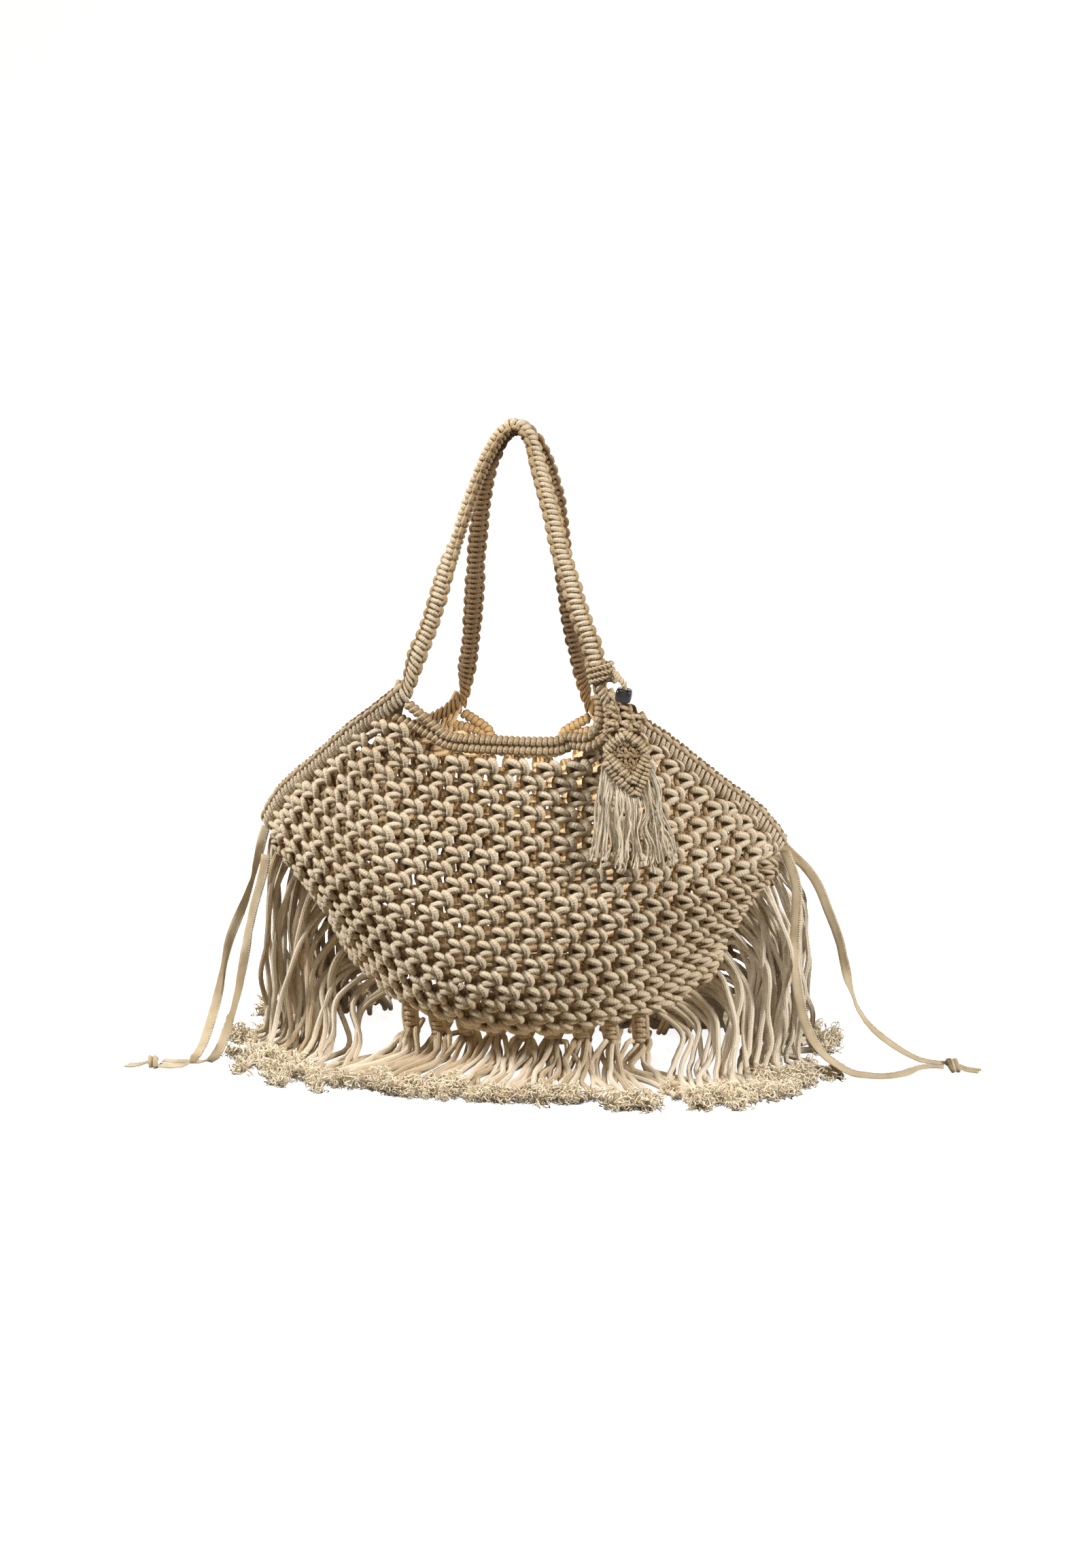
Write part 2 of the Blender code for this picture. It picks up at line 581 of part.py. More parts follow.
def fringe_strip(seam, low, high, head_y, end):
    """Left and right edge points with their thickness directions, from the head to the floor end."""
    middle = (low + high) / 2.0
    away = seam.away(middle)
    start = seam.at(middle) + away * HEAD_END
    start.y = head_y
    route = strip_route(start, away, end)
    floor_run = Vector((end.x - route[-2].x, end.y - route[-2].y, 0.0)).normalized()
    floor_side = Vector((-floor_run.y, floor_run.x, 0.0))
    if floor_side.x < 0.0:
        floor_side = -floor_side
    head_side = seam.along(middle)
    head_half = (seam.at(high) - seam.at(low)).length / 2.0
    stations = []
    for index, point in enumerate(route[1:], start=1):
        share = min(1.0, index / 3.0)
        side = head_side.lerp(floor_side, share).normalized()
        ahead = route[min(index + 1, len(route) - 1)] - route[index - 1]
        normal = ahead.cross(side).normalized()
        half = head_half + (STRIP_WIDTH / 2.0 - head_half) * share
        stations.append((point - side * half, point + side * half, normal))
    return stations


def make_fringe(name, seam, head_start, head_y, head_thickness, ranges, ends, cotton):
    """A head along the seam with one strip for each range of it; sides of the head stay joined."""
    corners = []
    faces = []

    def add_corner(point, normal, thickness):
        corners.append((point, normal, thickness))
        return len(corners) - 1

    def head_corners(distance):
        normal = Vector((0.0, -1.0, 0.0))
        found = []
        for offset in (head_start, HEAD_END):
            point = seam.at(distance) + seam.away(distance) * offset
            found.append(add_corner(Vector((point.x, head_y, point.z)), normal, head_thickness))
        return found

    previous = None
    for (low, high), end in zip(ranges, ends):
        left = head_corners(low)
        right = head_corners(high)
        if previous is not None:
            faces.append((previous[1], left[1], left[0], previous[0]))
        faces.append((left[1], right[1], right[0], left[0]))
        above = (left[1], right[1])
        strip = fringe_strip(seam, low, high, head_y, end)
        for index, (left_point, right_point, normal) in enumerate(strip):
            share = min(1.0, (index + 1) / 3.0)
            thickness = head_thickness + (STRIP_THICKNESS - head_thickness) * share
            below = (add_corner(left_point, normal, thickness), add_corner(right_point, normal, thickness))
            faces.append((below[0], below[1], above[1], above[0]))
            above = below
        previous = right
    return add_thick_sheet(name, corners, faces,
                           lambda corner, side: corner[0] + corner[1] * (side * corner[2] / 2.0), cotton)


def strip_ranges(first, last, count):
    """Ranges of the seam that carry a strip, with a gap between neighbours."""
    pitch = (last - first) / count
    half = pitch * STRIP_FILL / 2.0
    middles = [first + pitch * (index + 0.5) for index in range(count)]
    return [(middle - half, middle + half) for middle in middles]


def floor_end(x, front):
    """Where a seam strip ends on the floor: the edge bows outwards, at the front left of the middle."""
    height = STRIP_THICKNESS / 2.0
    if front:
        return Vector((x, FRINGE_BOW * (x - FRONT_BOW_MIDDLE) ** 2 - SEAM_FRINGE_REACH, height))
    return Vector((x, SEAM_FRINGE_REACH - FRINGE_BOW * x ** 2, height))


def make_fringes(panel, cotton):
    seam = Seam(seam_line(panel))
    total = seam.lengths[-1]
    bottom = 2.0 * abs(panel.middle(SEAM_HALF_WIDTH, 0.0).x)
    flank = (total - bottom) / 2.0
    left_ranges = strip_ranges(CORNER_CLEARANCE, flank - CORNER_CLEARANCE, SIDE_STRIPS)
    right_ranges = strip_ranges(flank + bottom + CORNER_CLEARANCE, total - CORNER_CLEARANCE, SIDE_STRIPS)
    seam_ranges = strip_ranges(flank, flank + bottom, SEAM_STRIPS)
    shares = [index / (SIDE_STRIPS - 1.0) for index in range(SIDE_STRIPS)]
    left_ends = [side_end(-1.0, share, index % 2 == 0) for index, share in enumerate(shares)]
    right_ends = [side_end(1.0, 1.0 - share, index % 2 == 0) for index, share in enumerate(shares)]
    for side, ranges, ends in (("left", left_ranges, left_ends), ("right", right_ranges, right_ends)):
        make_fringe(f"{side}_fringe", seam, SIDE_HEAD_START, 0.0, HEAD_THICKNESS, ranges, ends, cotton)
    half_head = HEAD_THICKNESS / 2.0 - FIT_GAP / 2.0
    head_y = half_head / 2.0 + FIT_GAP / 2.0
    middles = [seam.at((low + high) / 2.0).x for low, high in seam_ranges]
    front_ends = [floor_end(x * SPREAD + FRONT_SHIFT, True) for x in middles]
    back_ends = [floor_end(x * SPREAD, False) for x in middles]
    for name, y, ends in (("front_fringe", -head_y, front_ends), ("back_fringe", head_y, back_ends)):
        make_fringe(name, seam, SEAM_HEAD_START, y, half_head, seam_ranges, ends, cotton)


def side_end(side, share, front):
    """Floor end of a side strip; share runs from the corner down to the bottom of the seam."""
    turn = math.radians(SIDE_TURN_FIRST + SIDE_TURN_RANGE * share) * (-1.0 if front else 1.0)
    x = side * SIDE_FRINGE_REACH * math.cos(turn) ** 0.8
    return Vector((x, SIDE_FRINGE_DEPTH * math.sin(turn), STRIP_THICKNESS / 2.0))


# Charm

def make_charm(panel, route, cotton, yarn, black):
    frames = handle_frames(panel, route)
    centre = (frames[-2][0] + frames[-3][0]) / 2.0
    along = (frames[-3][0] - frames[-2][0]).normalized()
    sideways = along.cross(Vector((0.0, 1.0, 0.0))).normalized()
    outward = along.cross(sideways).normalized()
    half_width = HANDLE_WIDTH / 2.0 + CHARM_RING_RADIUS + CHARM_RING_GAP
    half_thickness = HANDLE_THICKNESS / 2.0 + CHARM_RING_RADIUS + CHARM_RING_GAP
    rings = []
    for index in range(CHARM_RING_STATIONS):
        turn = 2.0 * math.pi * index / CHARM_RING_STATIONS
        square = squared(turn)
        middle = centre + sideways * (square * math.cos(turn) * half_width)
        middle += outward * (square * math.sin(turn) * half_thickness)
        away = (middle - centre).normalized()
        rings.append([middle + away * across + along * up * CHARM_RING_STRETCH
                      for across, up in round_section(CHARM_RING_RADIUS, 6)])
    add_loft("charm_wrap", rings, cotton, closed=True)
    start = centre + sideways * CHARM_CORD_START[0] + outward * CHARM_CORD_START[1]
    bead = Vector(BEAD_CENTRE)
    rise = Vector((0.0, 0.0, BEAD_HEIGHT / 2.0))
    drop = [bead + rise * share for share in CHARM_CORD_RISES]
    route = [start, *drop, leaf_point(0.0, FIT_GAP, 0.0)]
    add_tube("charm_cord", route, CHARM_CORD_STEP, CHARM_CORD_RADIUS, cotton)
    make_bead(black)
    make_leaf(yarn)


def squared(turn):
    """How much further a rounded square reaches than a circle in one direction."""
    return 1.0 / (abs(math.cos(turn)) ** 4 + abs(math.sin(turn)) ** 4) ** 0.25


def make_bead(black):
    """Square-sided barrel with a bore for the charm's cord."""
    centre = Vector(BEAD_CENTRE)
    half = BEAD_HEIGHT / 2.0
    end_radius = BEAD_WIDTH / 2.0 - BEAD_EDGE
    rim = half - BEAD_EDGE * 2.0
    profile = ((BEAD_BORE_RADIUS, -half), (end_radius, -half), (BEAD_WIDTH / 2.0, -rim),
               (BEAD_WIDTH / 2.0, rim), (end_radius, half), (BEAD_BORE_RADIUS, half))
    rings = []
    for index in range(BEAD_SIDES):
        turn = 2.0 * math.pi * index / BEAD_SIDES
        ring = []
        for radius, rise in profile:
            reach = radius if radius == BEAD_BORE_RADIUS else radius * squared(turn)
            ring.append(centre + Vector((reach * math.cos(turn), reach * math.sin(turn), rise)))
        rings.append(ring)
    add_loft("charm_bead", rings, black, closed=True)


def leaf_point(x, z, out):
    """Point on the charm's sheet, which leans out over the bag's belly as it goes down."""
    top = Vector(LEAF_TOP)
    return Vector((top.x + x, top.y + z * LEAF_LEAN - out, top.z + z))


def make_leaf(yarn):
    half = LEAF_THICKNESS / 2.0
    corners = [(x, z) for name, x, z in LEAF_OUTLINE]
    add_thick_sheet("charm_leaf", corners, [tuple(range(len(corners)))],
                    lambda corner, side: leaf_point(corner[0], corner[1], side * half), yarn)
    make_tassel(yarn)


def make_tassel(yarn):
    """Yarn strips fused to a thin head that follows the leaf's two lower edges."""
    outline = {name: Vector((x, z)) for name, x, z in LEAF_OUTLINE}
    last = YARN_SPANS[-1][1]
    places = []
    for column in range(last + 1):
        share = column / last
        start, end = ("left", "tip") if share <= 0.5 else ("tip", "right")
        top = outline[start].lerp(outline[end], share * 2.0 - (start == "tip"))
        head = Vector((top.x, top.y - YARN_HEAD_GAP))
        low = Vector((top.x, top.y - YARN_HEAD_DEPTH))
        bottom = Vector((YARN_LEFT + (YARN_RIGHT - YARN_LEFT) * share, YARN_BOTTOM))
        middle = (low + bottom) / 2.0
        places += [head, low, middle, bottom]
    faces = [(column * 4 + 1, column * 4 + 5, column * 4 + 4, column * 4) for column in range(last)]
    for first, final in YARN_SPANS:
        for column in range(first, final):
            for row in (1, 2):
                here = column * 4 + row
                faces.append((here + 1, here + 5, here + 4, here))
    half = YARN_THICKNESS / 2.0
    add_thick_sheet("charm_tassel", places, faces,
                    lambda place, side: leaf_point(place.x, place.y, side * half), yarn)


# Ribbon ties

def make_tie_knot(name, outer_route, inner_route, tape):
    """Flat knot on the floor with two short tape ends, just past the ends of both tape runs."""
    middle = (Vector(outer_route[-1]) + Vector(inner_route[-1])) / 2.0
    run = middle * 2.0 - Vector(outer_route[-2]) - Vector(inner_route[-2])
    side = Vector(inner_route[-1]) - Vector(outer_route[-1])
    side.z = 0.0
    side.normalize()
    forward = Vector((-side.y, side.x, 0.0))
    if forward.dot(run) < 0.0:
        forward = -forward
    rings = []
    for along, half_width, top in TIE_KNOT_SHAPE:
        base = middle + forward * (along + TIE_KNOT_START)
        ring = []
        for across, rise in TIE_KNOT_OUTLINE:
            point = base + side * across * half_width
            ring.append(Vector((point.x, point.y, TIE_KNOT_BASE + rise * top)))
        rings.append(ring)
    add_loft(name, rings, tape)


def make_ties(tape):
    add_tube("left_tie_outer_run", LEFT_TIE_OUTER_ROUTE, TAPE_POINT_STEP, TAPE_WIDTH / 2.0, tape)
    add_tube("left_tie_inner_run", LEFT_TIE_INNER_ROUTE, TAPE_POINT_STEP, TAPE_WIDTH / 2.0, tape)
    make_tie_knot("left_tie_knot", LEFT_TIE_OUTER_ROUTE, LEFT_TIE_INNER_ROUTE, tape)
    add_tube("right_tie_outer_run", RIGHT_TIE_OUTER_ROUTE, TAPE_POINT_STEP, TAPE_WIDTH / 2.0, tape)
    add_tube("right_tie_inner_run", RIGHT_TIE_INNER_ROUTE, TAPE_POINT_STEP, TAPE_WIDTH / 2.0, tape)
    make_tie_knot("right_tie_knot", RIGHT_TIE_OUTER_ROUTE, RIGHT_TIE_INNER_ROUTE, tape)


def main():
    for shape in list(bpy.data.objects):
        bpy.data.objects.remove(shape)
    cotton = make_material("ecru_cotton_cord", (0.62, 0.53, 0.39), 0.9)
    yarn = make_material("ivory_cotton_yarn", (0.76, 0.66, 0.47), 0.9)
    black = make_material("black_gloss_bead", (0.012, 0.012, 0.014), 0.15)
    tape = make_material("beige_cotton_tape", (0.66, 0.55, 0.36), 0.85)
    front = Panel("front", -1.0, FRONT_SECTIONS)
    back = Panel("back", 1.0, BACK_SECTIONS)
    for panel, route in ((front, FRONT_HANDLE_ROUTE), (back, BACK_HANDLE_ROUTE)):
        make_panel(panel, cotton)
        make_edge_bands(panel, cotton)
        make_rolls(panel, cotton)
        make_handle(panel, route, cotton)
    make_fringes(front, cotton)
    make_charm(front, FRONT_HANDLE_ROUTE, cotton, yarn, black)
    make_ties(tape)


main()
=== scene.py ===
import bpy, math
import numpy as np
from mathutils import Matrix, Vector


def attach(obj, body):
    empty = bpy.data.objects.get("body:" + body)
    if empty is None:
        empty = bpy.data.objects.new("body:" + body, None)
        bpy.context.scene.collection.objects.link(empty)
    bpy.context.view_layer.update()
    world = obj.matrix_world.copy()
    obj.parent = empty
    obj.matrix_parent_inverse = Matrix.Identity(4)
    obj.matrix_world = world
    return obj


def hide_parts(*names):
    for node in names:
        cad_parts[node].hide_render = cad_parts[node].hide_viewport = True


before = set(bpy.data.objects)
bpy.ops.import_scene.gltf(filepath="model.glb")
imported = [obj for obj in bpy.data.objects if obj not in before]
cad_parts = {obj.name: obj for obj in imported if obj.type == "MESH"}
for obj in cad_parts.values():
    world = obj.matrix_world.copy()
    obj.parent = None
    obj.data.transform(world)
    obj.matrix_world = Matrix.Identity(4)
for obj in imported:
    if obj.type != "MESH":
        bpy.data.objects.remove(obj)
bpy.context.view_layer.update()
mm = 0.001
print("frame loaded")


# camera and light

view = {
    "azimuth": 10.0, "elevation": 14.0, "reach": 2.4, "target": (0.008, 0.0, 0.226), "frameHeight": 1.2812,
}


def makeCamera():
    azimuth, elevation = math.radians(view["azimuth"]), math.radians(view["elevation"])
    away = Vector((math.sin(azimuth) * math.cos(elevation), -math.cos(azimuth) * math.cos(elevation),
                   math.sin(elevation)))
    camera = bpy.data.objects.new("studioCamera", bpy.data.cameras.new("studioCamera"))
    camera.location = Vector(view["target"]) + away * view["reach"]
    camera.rotation_euler = away.to_track_quat("Z", "Y").to_euler()
    camera.data.lens = camera.data.sensor_width * view["reach"] / view["frameHeight"]
    bpy.context.scene.collection.objects.link(camera)
    bpy.context.scene.camera = camera


lamps = {
    "left": {"place": (-1.8, -0.42, 1.4), "size": 0.3, "power": 50.0, "colour": (1.0, 0.98, 0.95)},
    "right": {"place": (1.75, -0.7, 1.15), "size": 0.3, "power": 36.0, "colour": (1.0, 0.975, 0.94)},
    "top": {"place": (-0.1, -0.75, 1.8), "size": 0.4, "power": 9.0, "colour": (1.0, 0.975, 0.94)},
    "front": {"place": (0.3, -2.4, 0.7), "size": 1.2, "power": 1.3, "colour": (1.0, 0.80, 0.55)},
    "back": {"place": (0.0, 1.8, 1.3), "size": 1.2, "power": 5.0, "colour": (1.0, 0.93, 0.82)},
    "mouth": {"place": (-0.012, -0.02, 0.262), "size": 0.1, "power": 0.13, "colour": (1.0, 0.78, 0.48)},
    "aim": (0.0, 0.05, 0.16), "sky": 0.055, "skyColour": (1.0, 0.74, 0.45, 1.0), "floorGlow": 0.87,
}


def makeLamps():
    for name in ("left", "right", "top", "front", "back", "mouth"):
        lamp = lamps[name]
        light = bpy.data.lights.new(name + "Lamp", "AREA")
        light.size = lamp["size"]
        light.energy = lamp["power"]
        light.color = lamp["colour"]
        holder = bpy.data.objects.new(name + "Lamp", light)
        holder.location = lamp["place"]
        away = Vector(lamp["place"]) - Vector(lamps["aim"])
        holder.rotation_euler = away.to_track_quat("Z", "Y").to_euler()
        holder.visible_camera = False
        bpy.context.scene.collection.objects.link(holder)
    world = bpy.data.worlds.new("softRoom")
    world.use_nodes = True
    world.node_tree.nodes["Background"].inputs["Color"].default_value = lamps["skyColour"]
    world.node_tree.nodes["Background"].inputs["Strength"].default_value = lamps["sky"]
    bpy.context.scene.world = world
    bpy.context.scene.view_settings.view_transform = "Standard"


# node trees, for shaders and for geometry

bumpDepth = 0.0006


class Wire:  # one output socket that can be added, multiplied and so on
    def __init__(self, bench, socket):
        self.bench, self.socket = bench, socket

    def maths(self, operation, *values):
        return self.bench.take("ShaderNodeMath", {"operation": operation}, dict(enumerate(values)))

    def __add__(self, other): return self.maths("ADD", self, other)
    def __radd__(self, other): return self.maths("ADD", other, self)
    def __sub__(self, other): return self.maths("SUBTRACT", self, other)
    def __rsub__(self, other): return self.maths("SUBTRACT", other, self)
    def __mul__(self, other): return self.maths("MULTIPLY", self, other)
    def __rmul__(self, other): return self.maths("MULTIPLY", other, self)
    def __truediv__(self, other): return self.maths("DIVIDE", self, other)
    def __rtruediv__(self, other): return self.maths("DIVIDE", other, self)
    def __pow__(self, other): return self.maths("POWER", self, other)
    def sine(self): return self.maths("SINE", self)
    def over(self, edge): return self.maths("GREATER_THAN", self, edge)

    def clamped(self):
        return self.bench.take("ShaderNodeClamp", {}, {"Value": self})


class Bench:  # one node tree and the ways to add to it
    def __init__(self, tree):
        self.tree = tree

    def add(self, kind, settings, values):
        node = self.tree.nodes.new(kind)
        for name, value in settings.items():
            if name == "stops":
                while len(node.color_ramp.elements) < len(value):
                    node.color_ramp.elements.new(0.5)
                for stop, (place, colour) in zip(node.color_ramp.elements, value):
                    stop.position, stop.color = place, (*colour, 1.0)
            else:
                setattr(node, name, value)
        for name, value in values.items():
            self.feed(self.socket(node.inputs, name), value)
        return node

    def socket(self, sockets, name):
        if isinstance(name, int):
            return sockets[name]
        return next(found for found in sockets if found.enabled and found.name == name)

    def feed(self, socket, value):
        if isinstance(value, Wire):
            self.tree.links.new(value.socket, socket)
        elif socket.type == "RGBA" and len(value) == 3:
            socket.default_value = (*value, 1.0)
        else:
            socket.default_value = value

    def take(self, kind, settings, values, output=None):
        node = self.add(kind, settings, values)
        if output is None:
            return Wire(self, next(found for found in node.outputs if found.enabled))
        return Wire(self, self.socket(node.outputs, output))

    def blend(self, share, first, second, mode="MIX"):
        return self.take("ShaderNodeMix", {"data_type": "RGBA", "blend_type": mode},
                         {"Factor": share, "A": first, "B": second})

    def vectorMaths(self, operation, first, second):
        return self.take("ShaderNodeVectorMath", {"operation": operation}, {0: first, 1: second})

    def scaled(self, vector, share):
        return self.take("ShaderNodeVectorMath", {"operation": "SCALE"}, {0: vector, "Scale": share})

    def part(self, vector, axis):
        return self.take("ShaderNodeSeparateXYZ", {}, {"Vector": vector}, axis)

    def noise(self, place, scale, detail):
        return self.take("ShaderNodeTexNoise", {}, {"Vector": place, "Scale": scale, "Detail": detail}, "Fac")

    def painted(self, name, output="Fac"):  # an attribute, in a material
        return self.take("ShaderNodeAttribute", {"attribute_name": name}, {}, output)

    def stored(self, name, kind="FLOAT_VECTOR"):  # an attribute, in a geometry tree
        return self.take("GeometryNodeInputNamedAttribute", {"data_type": kind}, {"Name": name})

    def store(self, geometry, name, value, domain="POINT", kind="FLOAT"):
        return self.take("GeometryNodeStoreNamedAttribute", {"data_type": kind, "domain": domain},
                         {"Geometry": geometry, "Name": name, "Value": value})

    def chance(self, low, high, seed):
        return self.take("FunctionNodeRandomValue", {"data_type": "FLOAT"},
                         {"Min": low, "Max": high, "Seed": seed})

    def bumped(self, strength, height):
        return self.take("ShaderNodeBump", {}, {"Strength": strength, "Distance": bumpDepth, "Height": height},
                         "Normal")

    def instanced(self, source):  # an object to be laid many times
        return self.take("GeometryNodeObjectInfo", {}, {"Object": source, "As Instance": True}, "Geometry")


def newShader(name, roughness, **constants):
    material = bpy.data.materials.new(name)
    material.use_nodes = True
    bench = Bench(material.node_tree)
    shader = material.node_tree.nodes["Principled BSDF"]
    shader.inputs["Roughness"].default_value = roughness
    for socket, value in constants.items():
        shader.inputs[socket.replace("_", " ")].default_value = value
    return material, bench, shader


def dressCord(bench, shader, look):
    # turn is the place round the cord and along the distance down it, both stored on the cord's mesh
    turn = bench.painted("turn", "Vector")
    across, out = bench.part(turn, "X"), bench.part(turn, "Y")
    # rise, stored on the knots, sets how much painted recess shade a point gets
    along, shade, rise = bench.painted("along"), bench.painted("shade"), bench.painted("rise")
    angle = out.maths("ARCTAN2", out, across)
    run = along * (2 * math.pi / look["plaitPitch"])
    one = (angle * look["plaits"] + run).sine()
    other = (angle * look["plaits"] - run).sine()
    # plait: a lattice along the cord, used for the bump and, in colour, as painted shade in its crevices
    plait = one * other
    place = bench.take("ShaderNodeTexCoord", {}, {}, "Object")
    fuzz = bench.noise(place, look["fuzzScale"], 3.0)
    patch = bench.noise(place, look["patchScale"], 2.0)
    # light mixes painted shade in the plait's crevices, random fuzz and patches, a random tone for each cord,
    # and painted recess shade from rise
    light = (plait * look["paintedPlaitShade"] + fuzz * look["fuzzShade"] + patch * look["patchShade"]
             + shade * look["cordShade"] + rise * look["paintedRecessShade"] + look["base"]).clamped()
    # darker values are painted warmer brown, standing in for warm light bounced between cords in shade
    warm = bench.blend((light * 2.0).clamped(), look["deep"], look["middle"])
    colour = bench.blend((light * 2.0 - 1.0).clamped(), warm, look["pale"])
    bench.feed(shader.inputs["Base Color"], colour)
    height = plait * look["plaitHeight"] + fuzz * look["fuzzHeight"]
    bench.feed(shader.inputs["Normal"], bench.bumped(look["bump"], height))


cottonLook = {
    "deep": (0.20, 0.112, 0.04), "middle": (0.50, 0.365, 0.20), "pale": (0.90, 0.795, 0.62), "base": -0.45,
    "plaits": 3.0, "plaitPitch": 0.0034, "paintedPlaitShade": 0.10, "plaitHeight": 0.5,
    "fuzzScale": 1400.0, "fuzzShade": 0.55, "fuzzHeight": 0.8,
    "patchScale": 18.0, "patchShade": 0.34, "cordShade": 0.14, "paintedRecessShade": 0.76, "bump": 0.6,
}
fringeLook = dict(cottonLook, plaits=4.0, plaitPitch=0.0026, paintedPlaitShade=0.16, plaitHeight=0.8,
                  middle=(0.60, 0.465, 0.29), pale=(0.92, 0.82, 0.66), base=-0.04, paintedRecessShade=0.0,
                  cordShade=0.56)
frayLook = dict(cottonLook, paintedPlaitShade=0.0, plaitHeight=0.0, deep=(0.36, 0.24, 0.12),
                middle=(0.74, 0.55, 0.34), pale=(1.0, 0.90, 0.70), base=0.24, cordShade=0.95,
                patchScale=60.0, paintedRecessShade=0.0)
yarnLook = dict(cottonLook, plaits=1.0, plaitPitch=0.0022, paintedPlaitShade=0.14, plaitHeight=0.6, fuzzScale=2200.0,
                deep=(0.36, 0.24, 0.11), middle=(0.72, 0.58, 0.38), pale=(1.0, 0.91, 0.74), base=0.08,
                cordShade=0.8, paintedRecessShade=0.0)


def cordMaterial(name, look):
    material, bench, shader = newShader(name, 0.88, Sheen_Weight=0.25, Sheen_Roughness=0.5)
    shader.inputs["Specular IOR Level"].default_value = 0.25
    dressCord(bench, shader, look)
    return material


tapeLook = {
    "deep": (0.44, 0.32, 0.17), "pale": (0.74, 0.62, 0.42), "ribs": 2600.0, "weave": 40.0, "wear": 70.0,
    "fine": 1500.0,
}


def tapeMaterial():
    material, bench, shader = newShader("beigeTape", 0.62, Sheen_Weight=0.35, Sheen_Roughness=0.4)
    place = bench.take("ShaderNodeTexCoord", {}, {}, "Object")
    side = bench.part(bench.painted("turn", "Vector"), "X")
    rib = (bench.painted("along") * tapeLook["ribs"]).sine()
    weave = (side * tapeLook["weave"]).sine() * rib
    wear = bench.noise(place, tapeLook["wear"], 4.0)
    fine = bench.noise(place, tapeLook["fine"], 2.0)
    edge = (side * side) ** 4.0
    light = (wear * 1.3 + fine * 0.4 + weave * 0.06 - edge * 0.25 - 0.28).clamped()
    bench.feed(shader.inputs["Base Color"], bench.blend(light, tapeLook["deep"], tapeLook["pale"]))
    bench.feed(shader.inputs["Normal"], bench.bumped(0.35, weave * 0.5 + wear * 1.5 + fine * 0.3))
    return material


def beadMaterial():
    material, bench, shader = newShader("blackBead", 0.2)
    place = bench.take("ShaderNodeTexCoord", {}, {}, "Object")
    greyNoise, dust = bench.noise(place, 130.0, 5.0), bench.noise(place, 420.0, 3.0)
    # grey patches laid by noise over the black
    grey = ((greyNoise - 0.56) * 5.0).clamped()
    bench.feed(shader.inputs["Base Color"], bench.blend(grey, (0.004, 0.004, 0.0045), (0.035, 0.033, 0.03)))
    bench.feed(shader.inputs["Roughness"], 0.14 + dust * 0.2)
    shader.inputs["Specular IOR Level"].default_value = 0.32
    return material


def floorMaterial():
    material, bench, shader = newShader("paleFloor", 0.9)
    place = bench.take("ShaderNodeTexCoord", {}, {}, "Object")
    cloud = bench.noise(place, 0.7, 1.0)
    bench.feed(shader.inputs["Base Color"], bench.blend(cloud, (0.90, 0.90, 0.90), (0.93, 0.93, 0.925)))
    shader.inputs["Emission Color"].default_value = (1.0, 1.0, 1.0, 1.0)
    shader.inputs["Emission Strength"].default_value = lamps["floorGlow"]
    return material


studio = {"flat": 3.6, "bend": 2.0, "wall": 6.0, "sides": 72, "bendRows": 12}


def makeStudio():
    # a round floor that curves up into a wall on every side
    profile = [(studio["flat"] * share, 0.0) for share in (0.25, 0.5, 0.75, 1.0)]
    for step in range(1, studio["bendRows"] + 1):
        turn = math.pi / 2 * step / studio["bendRows"]
        reach, rise = math.sin(turn), 1 - math.cos(turn)
        profile.append((studio["flat"] + studio["bend"] * reach, studio["bend"] * rise))
    profile.append((profile[-1][0], studio["wall"]))
    sides = studio["sides"]
    turns = [2 * math.pi * side / sides for side in range(sides)]
    points = [(0.0, 0.0, 0.0)] + [(reach * math.cos(turn), reach * math.sin(turn), z)
                                  for reach, z in profile for turn in turns]
    faces = [(0, 1 + side, 1 + (side + 1) % sides) for side in range(sides)]
    for row in range(len(profile) - 1):
        first = 1 + row * sides
        for side in range(sides):
            after = (side + 1) % sides
            faces.append((first + side, first + sides + side, first + sides + after, first + after))
    mesh = bpy.data.meshes.new("studioFloor")
    mesh.from_pydata(points, [], faces)
    mesh.shade_smooth()
    mesh.materials.append(floorMaterial())
    floor = bpy.data.objects.new("studioFloor", mesh)
    bpy.context.scene.collection.objects.link(floor)
    floor.visible_diffuse = False  # the bright floor doesn't light the belly from below


makeCamera()
makeLamps()
makeStudio()
cotton = cordMaterial("ecruCotton", cottonLook)
fringeCotton = cordMaterial("fringeCotton", fringeLook)
frayed = cordMaterial("frayedCotton", frayLook)
# a paler copy of the fringe cotton: painted light for the right fringe, where the right lamp falls
paintedLitCotton = cordMaterial("paintedLitCotton", dict(fringeLook, base=0.55))
yarn = cordMaterial("ivoryYarn", yarnLook)
tape = tapeMaterial()
black = beadMaterial()
print("camera, lamps, floor and materials made")


# meshes and cords

def linkMesh(name, points, faces, material, attributes=None):
    # points in millimetres; attributes are lists of one value a point
    mesh = bpy.data.meshes.new(name)
    mesh.from_pydata((np.asarray(points, float) * mm).tolist(), [], faces)
    for key, values in (attributes or {}).items():
        values = np.asarray(values, np.float32)
        kind = "FLOAT_VECTOR" if values.ndim == 2 else "FLOAT"
        layer = mesh.attributes.new(key, kind, "POINT")
        layer.data.foreach_set("vector" if values.ndim == 2 else "value", values.ravel())
    mesh.shade_smooth()
    if material:
        mesh.materials.append(material)
    piece = bpy.data.objects.new(name, mesh)
    bpy.context.scene.collection.objects.link(piece)
    return piece


def unit(vectors):
    vectors = np.asarray(vectors, float)
    return vectors / np.maximum(np.linalg.norm(vectors, axis=-1, keepdims=True), 1e-9)


def runLengths(route):
    # how far along the route each of its points is
    return np.concatenate([[0], np.cumsum(np.linalg.norm(np.diff(route, axis=0), axis=1))])


def placesAlong(wanted, lengths, line):
    return np.stack([np.interp(wanted, lengths, line[:, axis]) for axis in range(3)], axis=-1)


